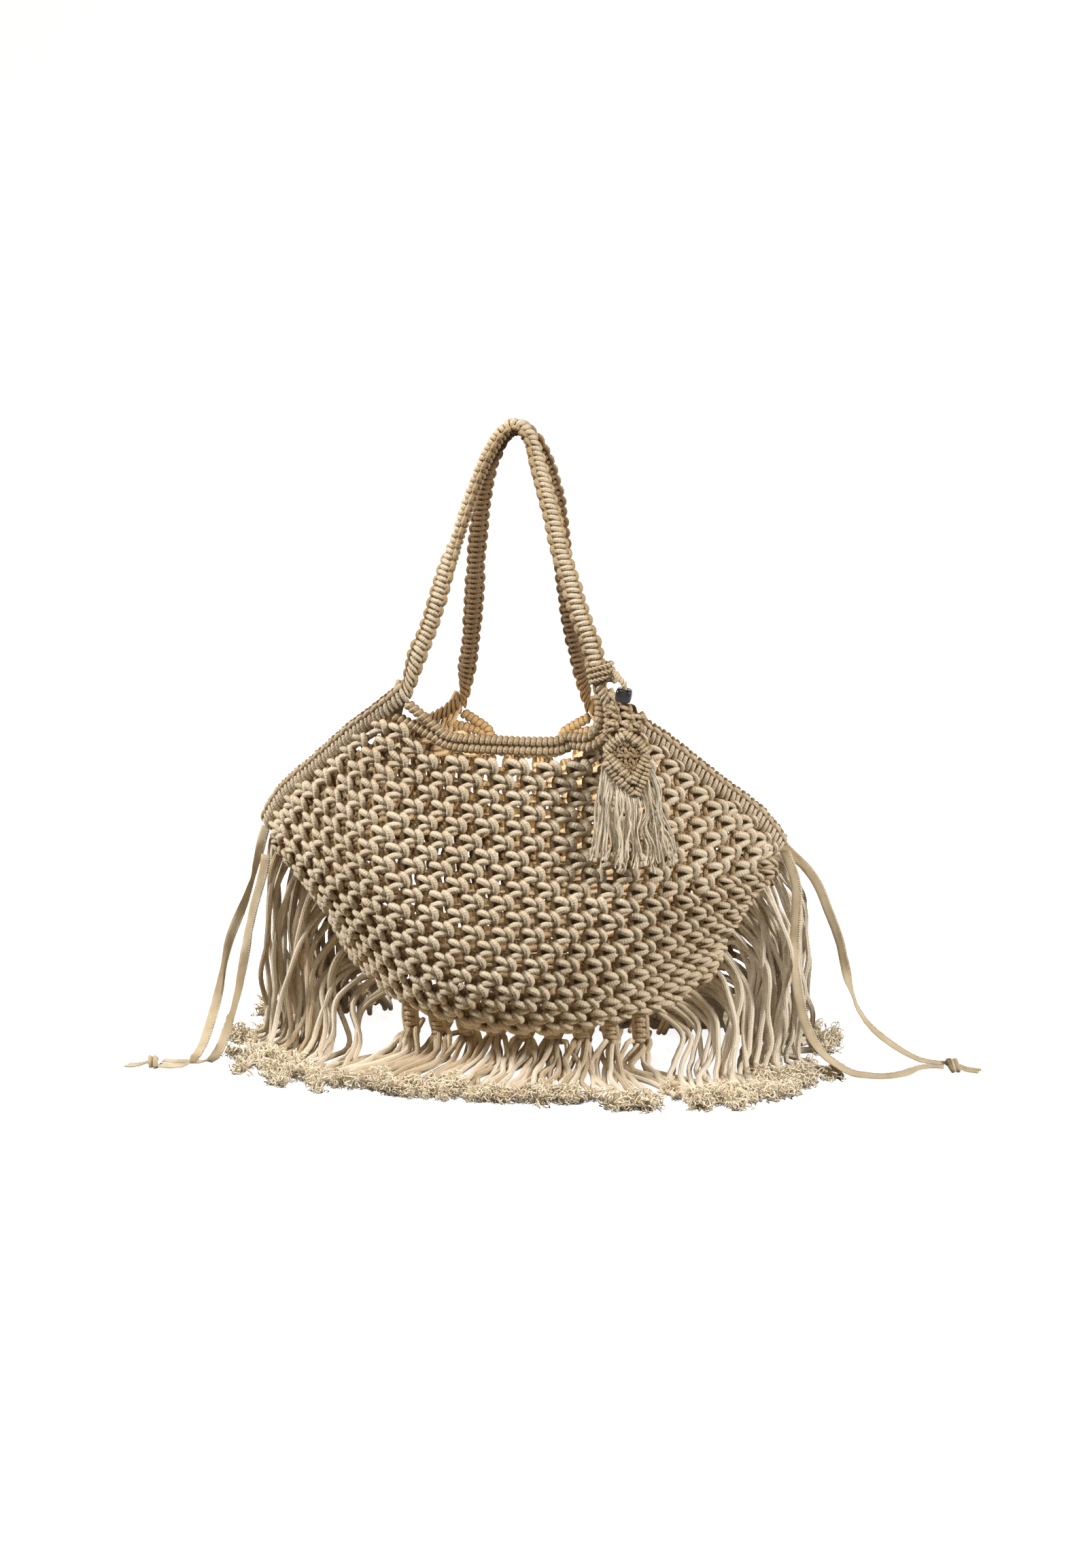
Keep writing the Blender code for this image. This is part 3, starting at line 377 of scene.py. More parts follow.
def smoothRoute(route, step=None, count=None):
    # even points on a smooth curve through the route
    route = np.asarray(route, float)
    ends = np.vstack([2 * route[0] - route[1], route, 2 * route[-1] - route[-2]])
    share = np.linspace(0, 1, 12, endpoint=False)[:, None]
    fine = []
    for before, start, end, after in zip(ends, ends[1:], ends[2:], ends[3:]):
        fine.append(0.5 * (2 * start + (end - before) * share
                           + (2 * before - 5 * start + 4 * end - after) * share ** 2
                           + (3 * start - before - 3 * end + after) * share ** 3))
    fine = np.vstack([*fine, route[-1:]])
    lengths = runLengths(fine)
    if count is None:
        count = max(2, int(round(lengths[-1] / step)) + 1)
    return placesAlong(np.linspace(0, lengths[-1], count), lengths, fine)


def carryFrames(route, hint):
    # a side direction for each point that turns as little as it can
    tangents = unit(np.gradient(route, axis=0))
    sides = []
    side = np.asarray(hint, float)
    for tangent in tangents:
        side = side - tangent * np.dot(side, tangent)
        if np.linalg.norm(side) < 1e-6:
            side = np.cross(tangent, (0.3, 0.8, 0.5))
        side = side / np.linalg.norm(side)
        sides.append(side)
    return tangents, np.array(sides)


class CordBundle:  # gathers many cords into one mesh
    def __init__(self):
        self.points, self.faces, self.turns, self.alongs, self.shades, self.rises = [], [], [], [], [], []
        self.count = 0

    def add(self, route, radius, sides=8, flat=1.0, hint=(0, 0, 1), shade=0.5):
        route = np.asarray(route, float)
        tangents, ups = carryFrames(route, hint)
        rights = np.cross(ups, tangents)
        radius = np.broadcast_to(np.asarray(radius, float), len(route))
        turns = 2 * math.pi * np.arange(sides) / sides
        circle = np.stack([np.cos(turns), np.sin(turns), np.zeros(sides)], axis=1)
        ring = rights[:, None, :] * circle[None, :, 0, None]
        ring = ring + ups[:, None, :] * circle[None, :, 1, None] * flat
        self.points.append((route[:, None, :] + ring * radius[:, None, None]).reshape(-1, 3))
        first = self.count
        for row in range(len(route) - 1):
            here = first + row * sides
            for side in range(sides):
                after = (side + 1) % sides
                self.faces.append((here + side, here + after, here + sides + after, here + sides + side))
        self.faces.append(tuple(first + side for side in reversed(range(sides))))
        last = first + (len(route) - 1) * sides
        self.faces.append(tuple(last + side for side in range(sides)))
        lengths = runLengths(route) * mm
        self.turns.append(np.tile(circle, (len(route), 1)))
        self.alongs.append(np.repeat(lengths, sides))
        self.shades.append(np.full(len(route) * sides, shade))
        # painted shade: every cord made here reads three quarters of the way to the palest knot tops, a quarter
        # of the full painted recess shade
        self.rises.append(np.full(len(route) * sides, 0.75))
        self.count += len(route) * sides

    def build(self, name, material):
        return linkMesh(name, np.vstack(self.points), self.faces, material,
                        {"turn": np.vstack(self.turns), "along": np.concatenate(self.alongs),
                         "shade": np.concatenate(self.shades), "rise": np.concatenate(self.rises)})


def finishPiece(piece, nodes):
    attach(piece, "root")
    if nodes:
        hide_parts(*nodes)
    return piece


def plainMesh(piece, name, *spent):
    # turns a piece with a live node tree into a plain mesh, and clears what it was made from
    graph = bpy.context.evaluated_depsgraph_get()
    mesh = bpy.data.meshes.new_from_object(piece.evaluated_get(graph))
    made = bpy.data.objects.new(name, mesh)
    mesh.name = name
    bpy.context.scene.collection.objects.link(made)
    for used in (piece, *spent):
        bpy.data.objects.remove(used)
    return made


# Geometry Nodes: knots laid on a guide, and cords along routes

def newTree(name, inputs):
    tree = bpy.data.node_groups.new(name, "GeometryNodeTree")
    tree.interface.new_socket("Geometry", in_out="INPUT", socket_type="NodeSocketGeometry")
    for label, kind in inputs:
        tree.interface.new_socket(label, in_out="INPUT", socket_type="NodeSocket" + kind)
    tree.interface.new_socket("Geometry", in_out="OUTPUT", socket_type="NodeSocketGeometry")
    bench = Bench(tree)
    source = bench.add("NodeGroupInput", {}, {})
    return tree, bench, lambda label: Wire(bench, bench.socket(source.outputs, label))


def closeTree(bench, geometry, material):
    painted = bench.take("GeometryNodeSetMaterial", {}, {"Geometry": geometry, "Material": material})
    bench.add("NodeGroupOutput", {}, {"Geometry": painted})


# knots are painted darker where they lie low towards their cloth: painted shade in the net's recesses
paintedShadeHeight = 0.0055  # how far a knot stands up where it is at its palest


def knotTree():
    tree, bench, given = newTree("knotsOnGuide", [
        ("Knot", "Object"), ("Guide", "Object"), ("Material", "Material"), ("Low Corner", "Vector"),
        ("Span", "Vector"), ("Turn Spread", "Float"), ("Size Spread", "Float"), ("Inner Light", "Float"),
        ("Seed", "Int")])
    knot = bench.instanced(given("Knot"))
    guide = bench.take("GeometryNodeObjectInfo", {}, {"Object": given("Guide")}, "Geometry")
    wobble = bench.chance(given("Turn Spread") * -1.0, given("Turn Spread"), given("Seed"))
    swell = bench.chance(given("Size Spread") * -1.0, given("Size Spread"), given("Seed") + 1.0)
    euler = bench.take("ShaderNodeCombineXYZ", {}, {"Z": bench.stored("spin", "FLOAT") + wobble})
    turned = bench.take("FunctionNodeEulerToRotation", {}, {"Euler": euler})
    scale = bench.scaled(bench.stored("size"), swell + 1.0)
    laid = bench.take("GeometryNodeInstanceOnPoints", {}, {
        "Points": given("Geometry"), "Instance": knot, "Rotation": turned, "Scale": scale})
    shaded = bench.store(laid, "shade", bench.chance(0.0, 1.0, given("Seed") + 2.0), "INSTANCE")
    real = bench.take("GeometryNodeRealizeInstances", {}, {"Geometry": shaded})
    place = bench.take("GeometryNodeInputPosition", {}, {})
    inside = bench.vectorMaths("SUBTRACT", place, given("Low Corner"))
    flat = bench.vectorMaths("DIVIDE", inside, given("Span"))
    chart, outward = bench.stored("flat"), bench.stored("outward")
    flat = bench.vectorMaths("MAXIMUM", flat, (0.0005, 0.0005, 0.0))
    flat = bench.vectorMaths("MINIMUM", flat, (0.9995, 0.9995, 0.0))
    beside = bench.vectorMaths("MULTIPLY", flat, (0.9991, 0.9987, 0.0))

    def onGuide(value, chartSpot):
        return bench.take("GeometryNodeSampleUVSurface", {"data_type": "FLOAT_VECTOR"}, {
            "Mesh": guide, "Value": value, "UV Map": chart, "Sample UV": chartSpot})

    def filled(value):
        # a point on an edge of the chart can be missed, and is then read just beside it
        normal = onGuide(outward, flat)
        found = bench.take("ShaderNodeVectorMath", {"operation": "LENGTH"}, {0: normal}, "Value")
        near = bench.scaled(onGuide(value, beside), (found * -4.0 + 1.0).clamped())
        return bench.vectorMaths("ADD", onGuide(value, flat), near)

    spot, normal = filled(place), filled(outward)
    height = bench.part(place, "Z")
    moved = bench.vectorMaths("ADD", spot, bench.scaled(normal, height))
    # painted shade: a point of a knot is painted darker the lower it lies, palest where it stands highest, and
    # its inner side keeps only a share of that painted light, set by the tree's input
    outer = (height / paintedShadeHeight).clamped()
    inner = (height * -1.0 / paintedShadeHeight).clamped() * given("Inner Light")
    marked = bench.store(real, "rise", outer + inner)
    bent = bench.take("GeometryNodeSetPosition", {}, {"Geometry": marked, "Position": moved})
    closeTree(bench, bent, given("Material"))
    return tree


def cordTree():
    tree, bench, given = newTree("cordsAlongRoutes", [
        ("Radius", "Float"), ("Sides", "Int"), ("Material", "Material"), ("Seed", "Int")])
    run = bench.take("GeometryNodeSplineParameter", {}, {}, "Length")
    marked = bench.store(given("Geometry"), "along", run)
    shaded = bench.store(marked, "shade", bench.chance(0.0, 1.0, given("Seed")), "CURVE")
    ring = bench.take("GeometryNodeCurvePrimitiveCircle", {}, {
        "Resolution": given("Sides"), "Radius": given("Radius")})
    place = bench.take("GeometryNodeInputPosition", {}, {})
    outwards = bench.take("ShaderNodeVectorMath", {"operation": "NORMALIZE"}, {0: place})
    profile = bench.store(ring, "turn", outwards, "POINT", "FLOAT_VECTOR")
    swept = bench.take("GeometryNodeCurveToMesh", {}, {
        "Curve": shaded, "Profile Curve": profile, "Fill Caps": True})
    smooth = bench.take("GeometryNodeSetShadeSmooth", {}, {"Geometry": swept})
    real = bench.take("GeometryNodeRealizeInstances", {}, {"Geometry": smooth})
    closeTree(bench, real, given("Material"))
    return tree


trees = {"knots": knotTree(), "cords": cordTree()}


def setInputs(piece, tree, values):
    worker = piece.modifiers.new(tree.name, "NODES")
    worker.node_group = tree
    for item in tree.interface.items_tree:
        if item.in_out == "INPUT" and item.name in values:
            worker[item.identifier] = values[item.name]


def sweepCords(name, routes, radius, sides, material, seed):
    # routes in millimetres, one cord each
    curve = bpy.data.curves.new(name + "Routes", "CURVE")
    curve.dimensions = "3D"
    for route in routes:
        line = curve.splines.new("POLY")
        line.points.add(len(route) - 1)
        places = np.hstack([np.asarray(route) * mm, np.ones((len(route), 1))])
        line.points.foreach_set("co", places.ravel())
    holder = bpy.data.objects.new(name + "Routes", curve)
    bpy.context.scene.collection.objects.link(holder)
    setInputs(holder, trees["cords"], {
        "Radius": radius * mm, "Sides": sides, "Material": material, "Seed": seed})
    return plainMesh(holder, name)


def restOnFloor(piece, level=0.05):
    # what would pass through the floor lies on it
    places = np.empty(3 * len(piece.data.vertices), np.float32)
    piece.data.vertices.foreach_get("co", places)
    places[2::3] = np.maximum(places[2::3], level * mm)
    piece.data.vertices.foreach_set("co", places)
    piece.data.update()


class Guide:  # a surface that knots are laid on: a grid of places with a chart of flat distances
    def __init__(self, name, grid, low, high, outward=None):
        rows, columns = grid.shape[:2]
        if outward is None:
            outward = unit(np.cross(np.gradient(grid, axis=0), np.gradient(grid, axis=1)))
        flatU, flatV = np.meshgrid(np.linspace(0, 1, rows), np.linspace(0, 1, columns), indexing="ij")
        faces = []
        for row in range(rows - 1):
            for column in range(columns - 1):
                here = row * columns + column
                faces.append((here, here + columns, here + columns + 1, here + 1))
        self.piece = linkMesh(name, grid.reshape(-1, 3), faces, None, {
            "outward": outward.reshape(-1, 3),
            "flat": np.stack([flatU.ravel(), flatV.ravel(), np.zeros(rows * columns)], axis=1)})
        self.low, self.span = np.array(low, float), np.array(high, float) - np.array(low, float)

    def lay(self, name, knot, places, material, turnSpread=0.0, sizeSpread=0.0, seed=1, innerLight=0.5):
        # places hold across, up, spin in degrees, and size across and up
        places = np.asarray(places, float)
        points = np.column_stack([places[:, :2], np.zeros(len(places))])
        sizes = np.column_stack([places[:, 3:5], places[:, 3:5].mean(axis=1)])
        spins = np.radians(places[:, 2])
        lattice = linkMesh(name + "Places", points, [], None, {"spin": spins, "size": sizes})
        setInputs(lattice, trees["knots"], {
            "Knot": knot, "Guide": self.piece, "Material": material, "Low Corner": (*(self.low * mm), 0.0),
            "Span": (*(self.span * mm), 1.0), "Turn Spread": math.radians(turnSpread),
            "Size Spread": sizeSpread, "Inner Light": innerLight, "Seed": seed})
        return plainMesh(lattice, name, knot)

    def clear(self):
        bpy.data.objects.remove(self.piece)


def makeKnot(name, cords):
    # cords hold a route with its radius, sides, rings and flatness
    bundle = CordBundle()
    for cord in cords:
        route = smoothRoute(cord["route"], count=cord["rings"])
        along = np.linspace(-1, 1, len(route))
        radius = cord["radius"] * (1 - cord.get("taper", 0.0) * along ** 4)
        bundle.add(route, radius, cord["sides"], cord.get("flat", 1.0), cord.get("hint", (0, 0, 1)))
    return bundle.build(name, None)


# ties: flat tape knotted at its end, one pair at each side corner, with the routes that the solids take

ties = {
    "width": 8.0, "thickness": 0.9, "step": 5.0, "stitchPitch": 1.9, "stitchInset": 0.7, "floor": 0.25,
    "left_tie_outer_run": {
        "route": [(-223.7, -9.4, 181.9), (-227.0, -9.5, 172.0), (-231.0, -12.5, 154.0), (-237.0, -16.0, 131.0),
                  (-244.0, -19.0, 112.0), (-251.0, -25.0, 93.0), (-254.0, -33.0, 78.0), (-255.0, -45.0, 60.0),
                  (-256.5, -58.0, 42.0), (-258.0, -73.0, 28.0), (-259.0, -90.0, 17.0), (-262.0, -107.0, 10.0),
                  (-269.0, -112.5, 5.5), (-279.0, -112.0, 4.4), (-290.0, -111.8, 4.4)],
        "faces": [(0.0, (0.9, -0.3, 0)), (0.18, (0.25, 1, 0)), (0.35, (1, 0.2, 0)), (0.5, (0.3, 1, 0)),
                  (0.65, (1, 0.5, 0.1)), (0.82, (1, 0.35, 0.2)), (0.9, (0.4, 1, 0.2)), (1.0, (0, 1, 0.1))]},
    "left_tie_inner_run": {
        "route": [(-222.4, -16.6, 160.0), (-224.0, -20.5, 145.0), (-228.5, -26.0, 126.0), (-233.0, -32.0, 104.0),
                  (-236.0, -43.0, 76.0), (-239.0, -56.0, 48.0), (-243.0, -70.0, 27.0), (-246.0, -83.0, 13.0),
                  (-250.5, -93.0, 6.0), (-261.0, -98.5, 4.4), (-276.0, -100.5, 4.4), (-290.0, -100.5, 4.4)],
        "faces": [(0.0, (1, 0, 0)), (0.3, (1, -0.35, 0)), (0.45, (0.8, 0.7, 0)), (0.6, (0.4, 1, 0)),
                  (0.75, (1, 0.4, 0)), (0.88, (0.5, 1, 0)), (1.0, (0, 1, 0))]},
    "right_tie_inner_run": {
        "route": [(207.5, -9.5, 181.8), (210.5, -9.6, 175.0), (216.0, -12.5, 163.0), (219.0, -16.0, 150.0),
                  (219.0, -20.0, 130.0), (219.0, -26.0, 106.0), (221.0, -33.0, 86.0), (225.0, -39.0, 66.0),
                  (231.0, -43.0, 46.0), (241.0, -44.0, 28.0), (254.0, -41.0, 15.0), (268.0, -38.0, 6.5),
                  (282.0, -37.0, 4.4), (298.0, -35.0, 4.4), (310.0, -27.0, 4.4), (319.0, -14.0, 4.4),
                  (329.0, -6.5, 4.4), (341.0, -6.0, 4.4)],
        "faces": [(0.0, (1, 0, 0)), (0.15, (1, 0.1, 0)), (0.27, (1, -0.1, 0)), (0.33, (0.35, 1, 0)),
                  (0.38, (1, 0.2, 0)), (0.5, (1, 0.3, 0.3)), (0.6, (0.3, 1, 0.6)), (0.75, (0, 1, 0.3)),
                  (0.9, (0.4, 1, 0)), (1.0, (0, 1, 0))]},
    "right_tie_outer_run": {
        "route": [(203.2, 10.6, 182.4), (212.0, 9.6, 174.0), (224.0, 9.0, 163.0), (234.0, 8.6, 149.0),
                  (243.0, 8.0, 128.0), (252.0, 6.0, 106.0), (257.0, 3.0, 88.0), (262.0, -1.0, 70.0),
                  (270.0, -5.0, 50.0), (282.0, -6.0, 34.0), (298.0, 1.0, 19.0), (314.0, 6.0, 8.0),
                  (328.0, 4.8, 4.5), (341.0, 4.4, 4.4)],
        "faces": [(0.0, (1, 0, 0.6)), (0.2, (1, 0.1, 0.4)), (0.45, (1, -0.3, 0.3)), (0.58, (0.1, 1, 0)),
                  (0.75, (0.15, 1, 0.4)), (0.9, (0, 1, 0.2)), (1.0, (0, 1, 0))]},
}


def ribbonFrames(route, faces):
    # the tape's width direction, eased from one row of faces to the next
    tangents = unit(np.gradient(route, axis=0))
    shares = np.linspace(0, 1, len(route))
    rows = np.array([row[0] for row in faces])
    sides = np.array([row[1] for row in faces], float)
    wanted = placesAlong(shares, rows, sides)
    across = unit(wanted - tangents * np.sum(wanted * tangents, axis=1, keepdims=True))
    return across, unit(np.cross(across, tangents))


def makeTape(name, route, faces, seed):
    # a thin flat tube with soft creases, and its whipped edge as small stitches
    rng = np.random.default_rng(seed)
    route = np.array(route)
    across, outward = ribbonFrames(route, faces)
    half, thick = ties["width"] / 2, ties["thickness"] / 2
    outline = [(-1.0, 0.0), (-0.9, 1.0), (-0.3, 1.1), (0.3, 1.1), (0.9, 1.0),
               (1.0, 0.0), (0.9, -1.0), (0.3, -1.1), (-0.3, -1.1), (-0.9, -1.0)]
    crease = rng.normal(0, 0.35, (len(route), 1)) + 0.4 * np.sin(np.arange(len(route)) * 1.3)[:, None]
    rings = []
    for side, out in outline:
        cup = outward * (abs(side) - 0.5) * crease
        rings.append(route + across * side * half + outward * out * thick + cup)
    points = np.stack(rings, axis=1)
    points[:, :, 2] = np.maximum(points[:, :, 2], ties["floor"])
    sides = len(outline)
    faceList = []
    for row in range(len(route) - 1):
        for side in range(sides):
            here, after = row * sides + side, row * sides + (side + 1) % sides
            faceList.append((here, after, after + sides, here + sides))
    faceList.append(tuple(reversed(range(sides))))
    faceList.append(tuple((len(route) - 1) * sides + side for side in range(sides)))
    steps = runLengths(route)
    turn = np.array([(side, out, 0) for side, out in outline])
    piece = linkMesh(name, points.reshape(-1, 3), faceList, tape, {
        "turn": np.tile(turn, (len(route), 1)), "along": np.repeat(steps * mm, sides)})
    wide = half + 1.5
    grid = np.stack([route - across * wide, route, route + across * wide], axis=0)
    guide = Guide(name + "Guide", grid, (-wide, 0), (wide, steps[-1]), np.stack([outward] * 3, axis=0))
    edge = half - ties["stitchInset"]
    stitch = makeKnot(name + "Stitch", [{"route": [(-1.0, -0.45, 0.3), (-0.9, -0.3, 0.75), (0.3, 0.1, 0.85),
                                                   (1.15, 0.4, 0.2), (0.5, 0.5, -0.75), (-0.8, 0.4, -0.7)],
                                         "radius": 0.34, "sides": 4, "rings": 6}])
    places = [(edge, at, 0, 1, 1) for at in np.arange(2.0, steps[-1] - 2.0, ties["stitchPitch"])]
    stitches = guide.lay(name + "_stitches", stitch, places, yarn, 6.0, 0.08, seed)
    guide.clear()
    restOnFloor(stitches)
    finishPiece(stitches, [])
    return piece, stitches


def makeTieKnot(name, outer, inner):
    # two wraps of tape over the two runs, and the tape's two short ends
    middle = (np.array(outer[-1]) + np.array(inner[-1])) / 2
    side = np.array(inner[-1]) - np.array(outer[-1])
    side[2] = 0
    side = side / np.linalg.norm(side)
    forward = np.array((-side[1], side[0], 0.0))
    if np.dot(forward, middle - np.array(outer[-3])) < 0:
        forward = -forward
    up = np.array((0, 0, 1.0))

    def at(along, across, rise):
        return middle * (1, 1, 0) + forward * along + side * across + up * rise

    bundle = CordBundle()
    wraps = [
        [(2, -8, 2.2), (3, -6.5, 6.6), (4.5, 0, 8.4), (6, 6.5, 6.2), (7, 8, 2.2), (6, 4, 1.6), (4, -4, 1.6)],
        [(6, -7.5, 2.4), (7, -6, 7.0), (8.5, 0, 8.8), (10.5, 5.5, 6.4), (11.5, 6.5, 2.4), (9, 2, 1.7)],
        [(9.5, 7, 2.0), (8.0, 6.2, 6.0), (6.5, 1.5, 8.3), (3.5, -4.0, 7.2), (1.5, -7.4, 2.2)],
    ]
    for wrap in wraps:
        bundle.add(smoothRoute([at(*spot) for spot in wrap], count=18), 2.3, 10, 0.42, hint=up)
    for end in ([(8, -1.5, 5.0), (13, -2.2, 4.2), (18, -2.5, 2.4), (24, -3.4, 1.3), (30, -3.0, 1.0)],
                [(8, 1.5, 4.4), (13, 2.4, 3.6), (18, 2.8, 2.0), (23, 2.2, 1.2), (28, 3.2, 0.9)]):
        bundle.add(smoothRoute([at(*spot) for spot in end], count=14), 2.6, 8, 0.28, hint=up)
    return bundle.build(name, tape)


def makeTies():
    laid = {}
    for seed, name in enumerate(key for key in ties if key.endswith("run")):
        tie = ties[name]
        path = smoothRoute(tie["route"], ties["step"])
        piece, stitches = makeTape(name + "_tape", path, tie["faces"], 40 + seed)
        finishPiece(piece, [name])
        laid[name] = (piece, stitches, path)
    for side in ("left", "right"):
        runs = [side + "_tie_outer_run", side + "_tie_inner_run"]
        knot = makeTieKnot(side + "_tie_tape_knot", ties[runs[0]]["route"], ties[runs[1]]["route"])
        restOnFloor(knot)
        finishPiece(knot, [side + "_tie_knot"])
        for name in runs:
            piece, stitches, path = laid[name]
            length = np.linalg.norm(np.diff(path, axis=0), axis=1).sum() * mm
            withPieces = [stitches, knot] if name == runs[0] else [stitches]
            tuple(path[0] * mm)
            (path * mm).tolist()


makeTies()
print("ties laid")


# the two hanging panels: how the flat cloth hangs, a row for each height on it, in millimetres

cloth = {
    "height": 305.0, "cornerHeight": 185.0, "seamHalf": 110.0, "cornerHalf": 232.0, "mouthHalf": 88.0,
    "roundness": 2.3, "foldAt": 85.0, "foldSoftness": 22.0, "gap": 0.35, "seamRise": 18.0,
    "columns": ("height", "centre", "halfWidth", "liftPower", "zMiddle", "zEdge", "depthMiddle", "depthEdge",
                "fold"),
    "level": {"share": 0.8, "from": 105.0, "over": 80.0},  # how far the rows of knots run level on the slopes
    "front": [
        (0.0, 0.0, 105.0, 2.0, 17.0, 17.0, 4.5, 4.5, 0.0),
        (20.0, 0.0, 122.0, 2.0, 18.0, 30.0, 24.0, 4.5, 0.0),
        (45.0, -1.0, 140.0, 2.0, 25.0, 52.0, 49.0, 4.5, 0.0),
        (75.0, -2.0, 155.0, 2.0, 43.0, 82.0, 73.0, 4.5, 0.0),
        (110.0, -4.0, 169.0, 2.0, 72.0, 114.0, 88.0, 4.5, 0.0),
        (145.0, -6.0, 188.0, 2.0, 106.0, 142.0, 94.0, 5.5, 2.0),
        (185.0, -8.0, 208.0, 2.0, 147.0, 178.0, 94.0, 12.0, 5.0),
        (209.0, -9.0, 190.0, 2.3, 171.0, 210.0, 92.0, 24.0, 7.0),
        (239.0, -10.0, 155.0, 2.8, 201.0, 243.0, 89.0, 40.0, 8.0),
        (271.0, -10.0, 117.0, 4.0, 233.0, 278.0, 84.0, 57.0, 6.0),
        (305.0, -10.0, 76.0, 6.0, 268.0, 312.0, 78.0, 71.0, 2.0),
        (330.0, -10.0, 52.0, 6.0, 292.0, 336.0, 74.0, 70.0, 0.0)],
    "back": [
        (0.0, 0.0, 105.0, 2.0, 17.0, 17.0, 4.5, 4.5, 0.0),
        (20.0, 0.0, 122.0, 2.0, 18.0, 30.0, 24.0, 4.5, 0.0),
        (45.0, -1.0, 140.0, 2.0, 25.0, 52.0, 48.0, 4.5, 0.0),
        (75.0, -2.0, 155.0, 2.0, 43.0, 82.0, 68.0, 4.5, 0.0),
        (110.0, -4.0, 169.0, 2.0, 71.0, 114.0, 79.0, 4.5, 0.0),
        (145.0, -6.0, 188.0, 2.0, 103.0, 142.0, 82.0, 5.5, 2.0),
        (185.0, -8.0, 206.0, 2.0, 140.0, 178.0, 80.0, 12.0, 4.0),
        (209.0, -10.0, 180.0, 2.2, 160.0, 203.0, 77.0, 24.0, 5.0),
        (239.0, -13.0, 138.0, 2.6, 184.0, 228.0, 73.0, 38.0, 5.0),
        (271.0, -16.0, 94.0, 3.2, 208.0, 252.0, 68.0, 50.0, 4.0),
        (305.0, -17.0, 52.0, 4.0, 232.0, 277.0, 64.0, 60.0, 0.0),
        (330.0, -17.0, 36.0, 4.0, 250.0, 298.0, 62.0, 59.0, 0.0)],
}
facing = {"front": -1.0, "back": 1.0}


def flatHalf(height):
    low = cloth["seamHalf"] + (cloth["cornerHalf"] - cloth["seamHalf"]) * height / cloth["cornerHeight"]
    rise = (height - cloth["cornerHeight"]) / (cloth["height"] - cloth["cornerHeight"])
    high = cloth["cornerHalf"] + (cloth["mouthHalf"] - cloth["cornerHalf"]) * rise
    return np.where(np.asarray(height) <= cloth["cornerHeight"], low, high)


def smoothColumn(heights, values, height):
    slopes = np.gradient(values, heights)
    row = np.clip(np.searchsorted(heights, height) - 1, 0, len(heights) - 2)
    span = heights[row + 1] - heights[row]
    t = (height - heights[row]) / span
    return ((2 * t ** 3 - 3 * t ** 2 + 1) * values[row] + (t ** 3 - 2 * t ** 2 + t) * span * slopes[row]
            + (3 * t ** 2 - 2 * t ** 3) * values[row + 1] + (t ** 3 - t ** 2) * span * slopes[row + 1])


def hang(panel, across, height):
    # where a place on the flat cloth hangs
    across, height = np.broadcast_arrays(np.asarray(across, float), np.asarray(height, float))
    table = np.array(cloth[panel])
    row = {}
    for index, name in enumerate(cloth["columns"]):
        row[name] = smoothColumn(table[:, 0], table[:, index], height)
    share = across / flatHalf(height)
    inside = np.minimum(abs(share), 1.0)
    beyond = abs(share) - inside
    x = row["centre"] + row["halfWidth"] * share * (1.06 - 0.06 * np.minimum(abs(share), 1.3) ** 2)
    z = row["zMiddle"] + (row["zEdge"] - row["zMiddle"]) * inside ** row["liftPower"]
    bulge = 1.0 - inside ** cloth["roundness"] - beyond
    depth = row["depthEdge"] + (row["depthMiddle"] - row["depthEdge"]) * bulge
    depth -= row["fold"] / (1.0 + np.exp((abs(across) - cloth["foldAt"]) * 4.0 / cloth["foldSoftness"]))
    return np.stack([x, facing[panel] * depth, z], axis=-1)


def hangNormal(panel, across, height):
    across, height, near = np.asarray(across), np.asarray(height), 2.0
    sideways = hang(panel, across + near, height) - hang(panel, across - near, height)
    upwards = hang(panel, across, height + near) - hang(panel, across, np.maximum(height - near, 0.0))
    return unit(np.cross(sideways, upwards)) * -facing[panel]


def slopePlace(share, outward, side):
    run = unit((cloth["mouthHalf"] - cloth["cornerHalf"], cloth["height"] - cloth["cornerHeight"]))
    across = cloth["cornerHalf"] + (cloth["mouthHalf"] - cloth["cornerHalf"]) * share + run[1] * outward
    height = cloth["cornerHeight"] + (cloth["height"] - cloth["cornerHeight"]) * share - run[0] * outward
    return side * across, height


# the net: alternating square knots, each two bars over two core cords with a loop at the right

